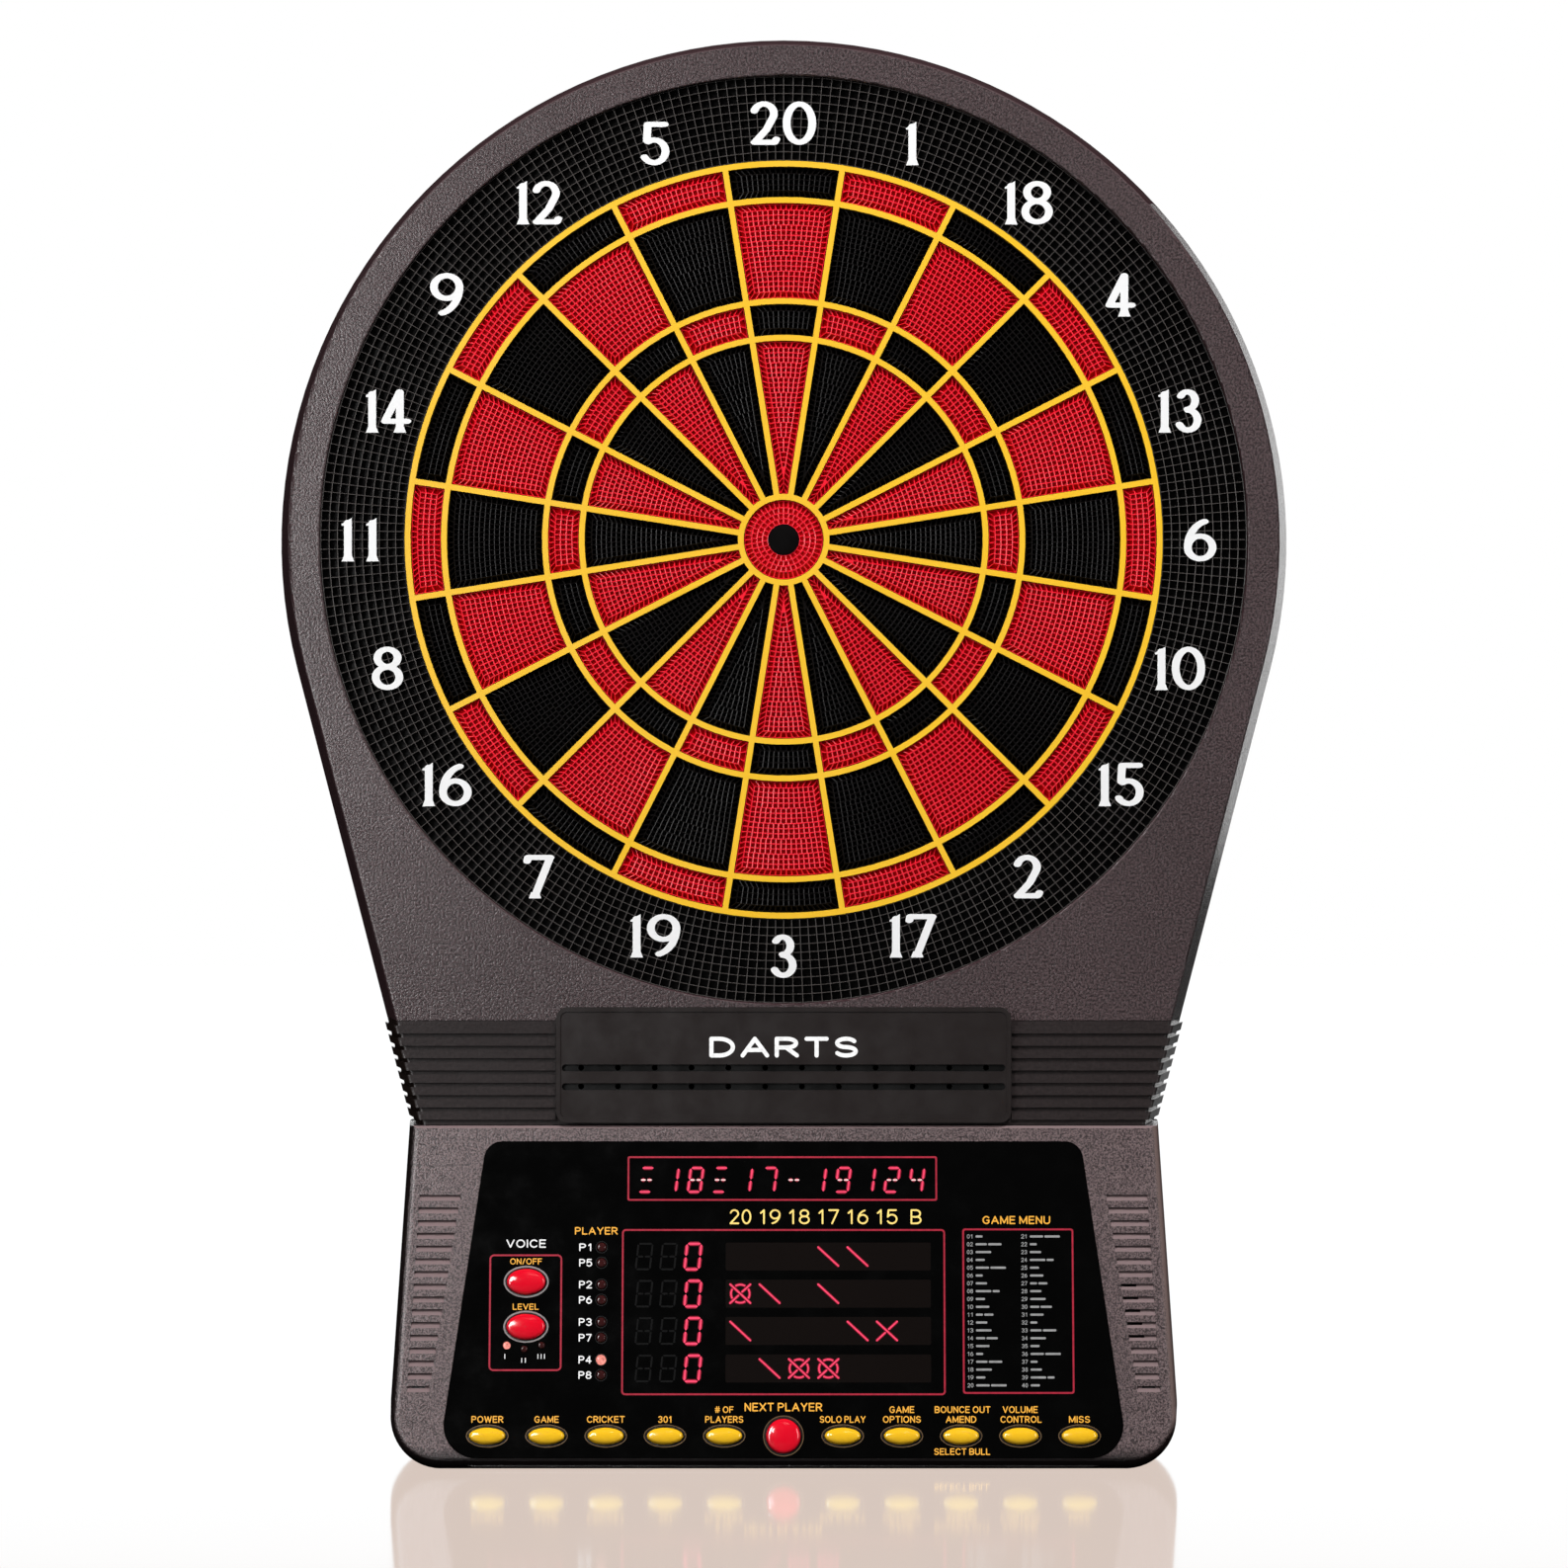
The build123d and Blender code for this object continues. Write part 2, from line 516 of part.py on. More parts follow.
def console_housing():
    shell = console_shell()
    shell += slab(lens_outline(-PLATE_MARGIN), PLATE_BACK_W, -WALL / 2, at_w)
    shell -= slab(lens_outline(0), POCKET_W, 5, at_w)
    shell -= slab(rectangle(WINDOW_U, WINDOW_V), 2 * PLATE_BACK_W, 0, at_w)
    shell += button_wells(COLLAR_GAP + COLLAR_WALL, POCKET_W, COLLAR_FRONT_W)
    shell -= button_wells(COLLAR_GAP, 2 * PLATE_BACK_W, 5)
    shell -= slab(shifted(Circle(LEVEL_LED_RADIUS + LED_FIT), LEVEL_LEDS), 2 * PLATE_BACK_W, 0, at_w)
    for side in (-1, 1):
        for i in range(LOUVRES):
            shell -= louvre(side, i)
    shell -= sound_slots()
    post = Circle(POST_RADIUS) - Circle(PILOT_RADIUS + SCREW_FIT)
    shell += slab(shifted(post, DISPLAY_POSTS), DISPLAY_BOARD_W[1] + SCREW_FIT, PLATE_BACK_W, at_w)
    shell += slab(shifted(post, KEYPAD_POSTS), KEYPAD_W[1] + SCREW_FIT, PLATE_BACK_W, at_w)
    shell += slab(shifted(post, VOICE_POSTS), KEYPAD_W[1] + SCREW_FIT, PLATE_BACK_W, at_w)
    shell += slab(shifted(post, clamp_points()), CLAMP_W[1] + SCREW_FIT, PLATE_BACK_W, at_w)
    pillars = bosses(CONSOLE_BOSSES, PARTING_DEPTH + SEAM, CONSOLE_LOFT_DEPTH)
    return shell + (pillars & console_block(0, -WALL / 2, PARTING_DEPTH - 1))


def rear_screw_points():
    return case_boss_points() + list(BAND_BOSSES + LOW_BOSSES + CONSOLE_BOSSES)


def rear_outline(inset):
    """The whole board seen from behind: the upper casing and the console together."""
    upper = body_outline(BODY_RADIUS - inset, CREASE_Z - 2 * inset)
    lower = console_outline(0, inset)
    bridge = rectangle((inset - CONSOLE_TOP_HALF + WALL, CONSOLE_TOP_HALF - WALL - inset),
                       (CREASE_Z - 3 * WALL - inset, CREASE_Z + WALL))
    return upper + lower + bridge


def keyhole(side):
    entry = Pos(side * KEYHOLE_X, KEYHOLE_Z) * Circle(KEYHOLE_ENTRY_RADIUS)
    slot = rectangle((side * KEYHOLE_X - KEYHOLE_SLOT_RADIUS, side * KEYHOLE_X + KEYHOLE_SLOT_RADIUS),
                     (KEYHOLE_Z, KEYHOLE_Z + KEYHOLE_SLOT_LENGTH))
    end = Pos(side * KEYHOLE_X, KEYHOLE_Z + KEYHOLE_SLOT_LENGTH) * Circle(KEYHOLE_SLOT_RADIUS)
    return entry + slot + end


def jack_outline(grow):
    """The power socket's footprint above the base wall, grown all round."""
    half, floor = JACK_BODY[0] / 2 + grow, BASE_Z + WALL
    return rectangle((JACK_X - half, JACK_X + half), (floor, floor + JACK_BODY[2] + SEAM + grow))


def rear_cover():
    rim = PARTING_DEPTH - SEAM
    outer = slab(rear_outline(0), 0, rim)
    outer = fillet(outer.faces().sort_by(Axis.Y)[-1].edges(), REAR_EDGE_RADIUS)
    tray = outer - slab(rear_outline(WALL), REAR_FLOOR, rim + 1)
    lip_outer, lip_inner = WALL + LIP_FIT, WALL + LIP_FIT + LIP_THICKNESS
    lip = slab(rear_outline(lip_outer) - rear_outline(lip_inner), rim - 4, rim + LIP_HEIGHT)
    lip += slab(rear_outline(WALL - 1) - rear_outline(lip_inner), rim - 4, rim - 1)
    lip -= slab(rectangle((-400, 400), (CREASE_Z - 2 * WALL, CREASE_Z + WALL)), rim, rim + 10)
    tray += lip
    tray += slab(shifted(Circle(BOSS_RADIUS + 1), rear_screw_points()), REAR_FLOOR / 2, rim)
    tray -= slab(shifted(Circle(WELL_RADIUS), rear_screw_points()), -1, HEAD_SEAT_DEPTH)
    tray -= slab(shifted(Circle(SCREW_RADIUS + SCREW_FIT), rear_screw_points()), 0, rim + 1)
    post = Circle(POST_RADIUS) - Circle(PILOT_RADIUS + SCREW_FIT)
    tray += slab(shifted(post, control_post_points()), REAR_FLOOR / 2, CONTROL_BOARD_DEPTH[0] - SCREW_FIT)
    tray -= slab(keyhole(-1) + keyhole(1), -1, REAR_FLOOR + 1)
    tray -= slab(jack_outline(CRADLE_WALL), REAR_FLOOR, rim + LIP_HEIGHT)
    tray += slab(jack_outline(CRADLE_WALL) - jack_outline(SEAM), REAR_FLOOR / 2, JACK_DEPTH)
    socket = Plane(origin=(JACK_X, -JACK_DEPTH, BASE_Z - 1), z_dir=(0, 0, 1))
    return tray - extrude(socket * Circle(JACK_HOLE_RADIUS), WALL + 1)


# ---- Dart rack -------------------------------------------------------------------------------------------
def rack_hole_points():
    half_row = RACK_HOLE_PITCH * (RACK_HOLES - 1) / 2
    return [(i * RACK_HOLE_PITCH - half_row, z) for z in RACK_SLOT_Z for i in range(RACK_HOLES)]


def rack_outline(inset):
    height = RACK_TOP_Z - RACK_BOTTOM_Z - 2 * inset
    middle = (RACK_TOP_Z + RACK_BOTTOM_Z) / 2
    return Pos(0, middle) * RectangleRounded(RACK_WIDTH - 2 * inset, height, RACK_CORNER - inset)


def dart_rack():
    back, front = FRONT_DEPTH + SCREW_FIT, FRONT_DEPTH + RACK_THICKNESS
    plate = slab(rack_outline(0), back, front)
    plate -= slab(rack_outline(RACK_FRAME), front - RACK_FRAME_STEP, front + 1)
    for z in RACK_SLOT_Z:
        groove = Pos(0, z) * SlotOverall(*RACK_SLOT)
        plate -= slab(groove, front - RACK_FRAME_STEP - RACK_SLOT_DEPTH, front)
    plate -= slab(shifted(Circle(RACK_HOLE_RADIUS), rack_hole_points()), back - 1, front)
    pilots = shifted(Circle(SCREW_RADIUS + SCREW_FIT), [(x, RACK_SCREW_Z) for x in RACK_SCREWS_X])
    return plate - slab(pilots, back - 1, back + RACK_PILOT_DEPTH)


# ---- Target ----------------------------------------------------------------------------------------------
def catch_ring():
    ring = slab(Circle(CATCH_RING_OUTER) - Circle(CATCH_RING_INNER), CATCH_RING_BACK, CATCH_RING_FRONT)
    ears = shifted(Circle(EAR_RADIUS), ring_screw_points())
    ring += slab(ears - Circle(CATCH_RING_OUTER - 1), CATCH_RING_BACK, CATCH_RING_BACK + EAR_THICKNESS)
    holes = shifted(Circle(SCREW_RADIUS + SCREW_FIT), ring_screw_points())
    ring -= slab(holes, CATCH_RING_BACK - 1, CATCH_RING_FRONT)
    ring += bosses(target_boss_points(), BACKPLATE_FRONT + SEAM, CATCH_RING_BACK)
    pilots = shifted(Circle(SCREW_RADIUS + SCREW_FIT), target_boss_points())
    return ring - slab(pilots, BACKPLATE_FRONT, CATCH_RING_BACK + RING_PILOT_DEPTH)


def digit_strokes(digit):
    """The centre lines of one numeral, two units high and centred on the origin."""
    half = 0.5
    if digit == 1:
        return [Line((0, -1), (0, 1)), Line((0, 0.95), (-0.4, 0.7)), Line((-0.35, -1), (0.35, -1))]
    if digit == 2:
        head = CenterArc((0, half), half, 170, -210)
        return [head, Line(head @ 1, (-half, -1)), Line((-half, -1), (half, -1))]
    if digit == 3:
        return [CenterArc((0, half), half, 160, -250), CenterArc((0, -half), half, 90, -250)]
    if digit == 4:
        arm, bar = Line((0.25, 1), (-half, -0.4)), Line((-half, -0.4), (half, -0.4))
        return [Line((0.25, -1), (0.25, 1)), arm, bar]
    if digit == 5:
        bowl = CenterArc((-0.05, -0.42), 0.58, 125, -270)
        return [Line((0.4, 1), (-0.3, 1)), Line((-0.3, 1), (-0.4, 0.1)), bowl]
    if digit == 6:
        return [CenterArc((0, -half), half, 0, 360), CenterArc((1.2, -0.4), 1.7, 175, -48)]
    if digit == 7:
        return [Line((-half, 1), (half, 1)), Line((half, 1), (-0.15, -1))]
    if digit == 8:
        return [CenterArc((0, 0.54), 0.46, 0, 360), CenterArc((0, -half), half, 0, 360)]
    if digit == 9:
        return [CenterArc((0, half), half, 0, 360), CenterArc((-1.2, 0.4), 1.7, -5, -48)]
    sides = [Line((side * half, -half), (side * half, half)) for side in (-1, 1)]
    return sides + [CenterArc((0, half), half, 0, 180), CenterArc((0, -half), half, 180, 180)]


def numeral(text):
    """A number as flat strokes with rounded joints, centred on the origin."""
    size = (NUMBER_HEIGHT - NUMBER_STROKE) / 2
    width = NUMBER_STROKE / size
    marks = []
    for i, letter in enumerate(text):
        place = Pos((i - (len(text) - 1) / 2) * NUMBER_PITCH, 0)
        for stroke in digit_strokes(int(letter)):
            marks.append(place * scale(trace(stroke, line_width=width), size))
            if not stroke.is_closed:
                ends = [Pos(point.X * size, point.Y * size) for point in (stroke @ 0, stroke @ 1)]
                marks += [place * end * Circle(NUMBER_STROKE / 2) for end in ends]
    return Sketch() + marks


def numerals():
    plates = []
    for i, number in enumerate(NUMBERS):
        x, z = polar(NUMBER_CIRCLE, 90 - i * SECTOR_ANGLE)
        front = CATCH_RING_FRONT + SCREW_FIT
        plates.append(slab(Pos(x, z) * numeral(str(number)), front, front + NUMBER_THICKNESS))
    return group(solid for plate in plates for solid in plate.solids())


def spider():
    web = Sketch()
    for radius in WEB_RADII:
        web += Circle(radius + WEB / 2) - Circle(radius - WEB / 2)
    length = WEB_RADII[-1] - WEB_RADII[0]
    bar = Pos(WEB_RADII[0] + length / 2, 0) * Rectangle(length, WEB)
    web += [Rot(0, 0, SECTOR_ANGLE * (i + 0.5) + 90) * bar for i in range(SECTORS)]
    return slab(web, SPIDER_BACK, SPIDER_FRONT)


def segments(ring, start):
    """Every second segment of one ring of the target, counted from the start sector clockwise."""
    r_in, r_out = WEB_RADII[ring], WEB_RADII[ring + 1]
    edge = WEB / 2 + SEGMENT_GAP
    under = WEB / 2 - FLANGE_LAP
    body = slab(sector(r_in + edge, r_out - edge, edge), SEGMENT_BACK, SEGMENT_FRONT)
    body += slab(sector(r_in + under, r_out - under, under), SEGMENT_BACK, FLANGE_FRONT)
    turns = range(start, SECTORS, 2)
    return group(body.rotate(Axis.Y, SECTOR_ANGLE * i) for i in turns)


def outer_bull():
    edge = WEB / 2 + SEGMENT_GAP
    under = WEB / 2 - FLANGE_LAP
    body = slab(Circle(WEB_RADII[0] - edge), SEGMENT_BACK, SEGMENT_FRONT)
    body += slab(Circle(WEB_RADII[0] - under), SEGMENT_BACK, FLANGE_FRONT)
    body -= slab(Circle(BULL_RADIUS + SEGMENT_GAP), SEGMENT_BACK - 1, SEGMENT_FRONT + 1)
    return body - slab(Circle(BULL_RECESS_RADIUS), SEGMENT_BACK - 1, BULL_RECESS_FRONT)


def inner_bull():
    pin = slab(Circle(BULL_RADIUS), SEGMENT_BACK, SEGMENT_FRONT)
    return pin + slab(Circle(BULL_FLANGE_RADIUS), SEGMENT_BACK, BULL_FLANGE_FRONT)


def strip(points, x, width, thickness):
    """A flat cable: a path of (depth, z) points given a thickness and a width about x."""
    path = trace(Polyline(*[(-depth, z) for depth, z in points]), line_width=thickness)
    return extrude(Plane.YZ.offset(x - width / 2) * path, width)


def sensor_membrane():
    """The printed contact sheet with its two tails, which run down to the control board."""
    middle = (MEMBRANE_FRONT + MEMBRANE_BACK) / 2
    sheet = slab(Circle(MAT_RADIUS), MEMBRANE_BACK, MEMBRANE_FRONT)
    board_top = CONTROL_BOARD_Z + CONTROL_BOARD[1] / 2
    stand = CONTROL_BOARD_DEPTH[1] + RIBBON_STAND
    path = [(middle, -MAT_RADIUS + RIBBON_TUCK), (middle, -BACKPLATE_RADIUS - RIBBON_CLEARANCE),
            (stand, board_top), (stand, board_top - RIBBON_WIDTH / 4)]
    for x in RIBBONS_X:
        sheet += strip(path, x, RIBBON_WIDTH, RIBBON_THICKNESS)
    return sheet


def target_backplate():
    plate = slab(Circle(BACKPLATE_RADIUS), BACKPLATE_BACK, BACKPLATE_FRONT)
    holes = shifted(Circle(SCREW_RADIUS + SEAM), target_boss_points())
    plate -= slab(holes, BACKPLATE_BACK - 1, BACKPLATE_FRONT + 1)
    ring_rib = Circle(BACKPLATE_RIB[1]) - Circle(BACKPLATE_RIB[0])
    reach, width = BACKPLATE_SPOKE
    across = range(BACKPLATE_SPOKES // 2)
    spokes = [Rot(0, 0, 360 / BACKPLATE_SPOKES * i) * Rectangle(2 * reach, width) for i in across]
    return plate + slab(ring_rib + spokes, BACKPLATE_BACK - BACKPLATE_RIB_HEIGHT, BACKPLATE_BACK)


# ---- Console pieces --------------------------------------------------------------------------------------
def console_lens():
    sheet = slab(lens_outline(LENS_GAP), *LENS_W, at_w)
    sheet -= button_wells(COLLAR_GAP + COLLAR_WALL + COLLAR_FIT, 2 * LENS_W[0], 5)
    holes = shifted(Circle(PLAYER_LED_RADIUS + LED_FIT), player_led_points())
    holes += shifted(Circle(LEVEL_LED_RADIUS + LED_FIT), LEVEL_LEDS)
    return sheet - slab(holes, 2 * LENS_W[0], 5, at_w)


def button(name):
    """A domed cap with a flange behind the well and a stem for its contact."""
    u, v, size = BUTTONS[name]
    cap = slab(key_outline(size), FLANGE_W[1], BUTTON_SHOULDER_W, at_w)
    dome_size = (size[0] - BUTTON_STEP, size[1] - BUTTON_STEP, BUTTON_DOME)
    cap += at_w(BUTTON_SHOULDER_W) * scale(Sphere(1), by=dome_size)
    cap += slab(key_outline(size, FLANGE_MARGIN), *FLANGE_W, at_w)
    cap += slab(Circle(STEM_RADIUS), STEM_W, FLANGE_W[0], at_w)
    return cap.translate(FACE.from_local_coords((u, v, 0)) - FACE.origin)


def modules(size, points):
    """Display modules standing on the display board."""
    return group(slab(Pos(*point) * Rectangle(*size), *MODULE_W, at_w) for point in points)


def marquee_digits():
    return modules(MARQUEE_MODULE,
                   [(MARQUEE_START_U + i * MARQUEE_PITCH, MARQUEE_V) for i in range(MARQUEE_CHARACTERS)])


def score_digits():
    return modules(SCORE_MODULE, [(u, v) for u in SCORES_U for v in ROWS_V])


def mark_displays():
    columns = [MARK_START_U + i * MARK_PITCH for i in range(MARKS_PER_ROW)]
    return modules(MARK_MODULE, [(u, v) for u in columns for v in ROWS_V])


def player_led_points():
    return [(PLAYER_LED_U, v) for v in PLAYER_LEDS_V]


def leds(points, radius, back):
    """Round lamps whose domed ends come through the lens."""
    solids = []
    for u, v in points:
        lamp = slab(Pos(u, v) * Circle(radius), back, LED_FRONT_W, at_w)
        tip = lamp.faces().filter_by(FACE).sort_by(Axis.Y)[0]
        solids.append(fillet(tip.edges(), radius * LED_TIP_ROUND))
    return group(solids)


def drilled_board(outline, posts, w_range):
    holes = shifted(Circle(SMALL_SCREW_RADIUS + SCREW_FIT), posts)
    return slab(outline - holes, *w_range, at_w)


def display_board():
    return drilled_board(rectangle(DISPLAY_BOARD_U, DISPLAY_BOARD_V), DISPLAY_POSTS, DISPLAY_BOARD_W)


def button_row_outline():
    half = 5 * BUTTON_PITCH + KEY[0]
    return rectangle((-half, half), (BUTTON_ROW_V - KEYPAD_HEIGHT / 2, BUTTON_ROW_V + KEYPAD_HEIGHT / 2))


def voice_outline():
    return rectangle(VOICE_BOARD_U, VOICE_BOARD_V)


def keypad_boards():
    row = drilled_board(button_row_outline(), KEYPAD_POSTS, KEYPAD_BOARD_W)
    return group([row, drilled_board(voice_outline(), VOICE_POSTS, KEYPAD_BOARD_W)])


def keypad_domes():
    """Two rubber sheets with a hollow dome behind every button."""
    sheets = []
    lamp_holes = shifted(Circle(LEVEL_LED_RADIUS + LED_FIT), LEVEL_LEDS)
    for outline, posts in ((button_row_outline(), KEYPAD_POSTS), (voice_outline() - lamp_holes, VOICE_POSTS)):
        sheet = drilled_board(outline, posts, KEYPAD_W)
        for u, v, size in BUTTONS.values():
            if (v == BUTTON_ROW_V) == (posts is KEYPAD_POSTS):
                dome, hollow = Pos(u, v) * Circle(DOME_RADIUS), Pos(u, v) * Circle(DOME_RADIUS - DOME_WALL)
                sheet += slab(dome, KEYPAD_W[1], DOME_FRONT_W, at_w)
                sheet -= slab(hollow, KEYPAD_W[0], DOME_FRONT_W - DOME_TOP, at_w)
        sheets.append(sheet)
    return group(sheets)


def speaker():
    """Frame, cone body and magnet turned about one axis."""
    back, front = SPEAKER_W
    cone = (SPEAKER_RADIUS + MAGNET_RADIUS) / 2
    body = slab(Circle(SPEAKER_RADIUS), front - SPEAKER_FRAME, front, at_w)
    body += slab(Circle(cone), CLAMP_W[1] + SCREW_FIT, front - SPEAKER_FRAME, at_w)
    body += slab(Circle(MAGNET_RADIUS), back, front - SPEAKER_FRAME, at_w)
    body -= slab(Circle(SPEAKER_RECESS[0]), front - SPEAKER_RECESS[1], front + 1, at_w)
    u, v = SPEAKER_UV
    return body.translate(FACE.from_local_coords((u, v, 0)) - FACE.origin)


def clamp_points():
    return [(SPEAKER_UV[0], v) for v in CLAMP_POSTS_V]


def speaker_clamp():
    height = CLAMP_POSTS_V[0] - CLAMP_POSTS_V[1]
    bar = Rectangle(CLAMP_BAR, height + CLAMP_BAR) + Circle(MAGNET_RADIUS + CLAMP_RING_WIDTH)
    bar = Pos(*SPEAKER_UV) * (bar - Circle(MAGNET_RADIUS + SEAM))
    return drilled_board(bar, clamp_points(), CLAMP_W)


def control_post_points():
    half = CONTROL_BOARD[1] / 2 - CONTROL_POST_INSET
    return [(x, CONTROL_BOARD_Z + side * half) for x in CONTROL_POSTS_X for side in (-1, 1)]


def control_board():
    """The main board with its chip, crystal, capacitors and connectors soldered on."""
    back, front = CONTROL_BOARD_DEPTH
    outline = Pos(0, CONTROL_BOARD_Z) * Rectangle(*CONTROL_BOARD)
    outline -= shifted(Circle(SMALL_SCREW_RADIUS + SCREW_FIT), control_post_points())
    board = slab(outline, back, front)
    chip = Pos(0, CONTROL_BOARD_Z) * Rectangle(CHIP[0], CHIP[0])
    board += slab(chip, front, front + CHIP[1])
    socket_z = CONTROL_BOARD_Z + CONTROL_BOARD[1] / 2 - RIBBON_SOCKET_INSET
    sockets = shifted(Rectangle(*RIBBON_SOCKET[:2]), [(x, socket_z) for x in RIBBONS_X])
    board += slab(sockets, front, front + RIBBON_SOCKET[2])
    capacitors = shifted(Circle(CAPACITOR[0]), [(x, CONTROL_BOARD_Z + z) for x, z in CAPACITORS])
    board += slab(capacitors, front, front + CAPACITOR[1])
    plugs = shifted(Rectangle(*PLUG_SOCKET[:2]), [(x, CONTROL_BOARD_Z + z) for x, z in PLUG_SOCKETS])
    return board + slab(plugs, front, front + PLUG_SOCKET[2])


def board_cable(start_z, plug, rise, x, width):
    """A flat cable that stands out of the control board and runs to a plug behind the face."""
    front = CONTROL_BOARD_DEPTH[1]
    depth, z = -plug.Y, plug.Z
    path = [(front + CABLE_START, start_z), (front + CABLE_STAND, start_z),
            (depth - CABLE_BEND, z + rise), (depth, z)]
    return strip(path, x, width, CABLE_THICKNESS)


def display_cable():
    """The flat cable from the control board to the display board."""
    plug = FACE.from_local_coords((0, DISPLAY_PLUG_V, DISPLAY_BOARD_W[0] - CABLE_THICKNESS))
    return board_cable(CONTROL_BOARD_Z + DISPLAY_CABLE_START, plug, -6, *DISPLAY_CABLE)


def keypad_cable():
    """The flat cable from the control board to the keypad board."""
    plug = FACE.from_local_coords((0, BUTTON_ROW_V, KEYPAD_BOARD_W[0] - CABLE_THICKNESS))
    return board_cable(CONTROL_BOARD_Z + KEYPAD_CABLE_START, plug, 2, *KEYPAD_CABLE)


def dc_jack():
    """The power socket behind the hole in the base of the rear cover."""
    width, thickness, height = JACK_BODY
    floor = BASE_Z + WALL + SEAM
    centre = Pos(JACK_X, -JACK_DEPTH, floor + height / 2)
    body = centre * Box(width, thickness, height)
    inlet = Plane(origin=(JACK_X, -JACK_DEPTH, floor), z_dir=(0, 0, 1))
    barrel, pin = inlet * Circle(JACK_BARREL_RADIUS), inlet * Circle(JACK_PIN_RADIUS)
    return body - extrude(barrel, height - 2) + extrude(pin, height - 1)


# ---- Screws ----------------------------------------------------------------------------------------------
def housing_screws():
    return group(screw(x, z, HEAD_SEAT_DEPTH, CASE_SCREW_LENGTH) for x, z in rear_screw_points())


def target_screws():
    backplate = [screw(x, z, BACKPLATE_BACK, BACKPLATE_SCREW_LENGTH) for x, z in target_boss_points()]
    ring = [screw(x, z, CATCH_RING_BACK, RING_SCREW_LENGTH) for x, z in ring_screw_points()]
    return group(backplate + ring)


def rack_screws():
    return group(screw(x, RACK_SCREW_Z, FRONT_DEPTH - WALL, RACK_SCREW_LENGTH) for x in RACK_SCREWS_X)


def board_screws():
    seats = [(u, v, DISPLAY_BOARD_W[0]) for u, v in DISPLAY_POSTS]
    seats += [(u, v, KEYPAD_BOARD_W[0]) for u, v in KEYPAD_POSTS + list(VOICE_POSTS)]
    seats += [(u, v, CLAMP_W[0]) for u, v in clamp_points()]
    solids = [small_screw(u, v, seat) for u, v, seat in seats]
    for x, z in control_post_points():
        front = CONTROL_BOARD_DEPTH[1] + SCREW_FIT
        head = slab(Pos(x, z) * Circle(SMALL_HEAD_RADIUS), front, front + SMALL_HEAD_HEIGHT)
        solids.append(head + slab(Pos(x, z) * Circle(SMALL_SCREW_RADIUS), front - BOARD_SCREW_LENGTH, front))
    return group(solids)


# ---- Build -----------------------------------------------------------------------------------------------
RINGS = ("inner_single_segments", "treble_segments", "outer_single_segments", "double_segments")
BLACK_START = (1, 0, 1, 0)  # the 20 sector is black in the double and treble rings

PIECES = [front_housing, waist_band, console_housing, rear_cover, dart_rack, catch_ring, numerals, spider,
          outer_bull, inner_bull, sensor_membrane, target_backplate, console_lens, marquee_digits,
          score_digits, mark_displays, display_board, keypad_boards, keypad_domes, speaker, speaker_clamp,
          control_board, display_cable, keypad_cable, dc_jack, housing_screws, target_screws, rack_screws,
          board_screws]


def write(name, shape):
    export_step(shape, f"parts/{name}.step")


def main():
    os.makedirs("parts", exist_ok=True)
    for piece in PIECES:
        write(piece.__name__, piece())
    for ring, name in enumerate(RINGS):
        write(name + "_black", segments(ring, BLACK_START[ring]))
        write(name + "_red", segments(ring, 1 - BLACK_START[ring]))
    for name in BUTTONS:
        write(name, button(name))
    write("rubber_mat", slab(Circle(MAT_RADIUS), MAT_BACK, MAT_FRONT))
    write("player_leds", leds(player_led_points(), PLAYER_LED_RADIUS, MODULE_W[0]))
    write("level_leds", leds(LEVEL_LEDS, LEVEL_LED_RADIUS, KEYPAD_BOARD_W[1] + SCREW_FIT))


main()
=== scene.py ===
"""Electronic dartboard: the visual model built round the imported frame.

Everything is in metres in the shared frame: +X to the player's right, +Z up, -Y out of the wall. Lengths
are written in millimetres and turned to metres by MM. A flat drawing uses (x, z) as seen by the player, and
"depth" is the distance out of the wall. The console's tilted face has its own (u, v, w): right, up the
face and outwards, with w measured from the front of its black window.
"""

import json
import math

import bmesh
import bpy
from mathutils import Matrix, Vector
from mathutils.geometry import delaunay_2d_cdt

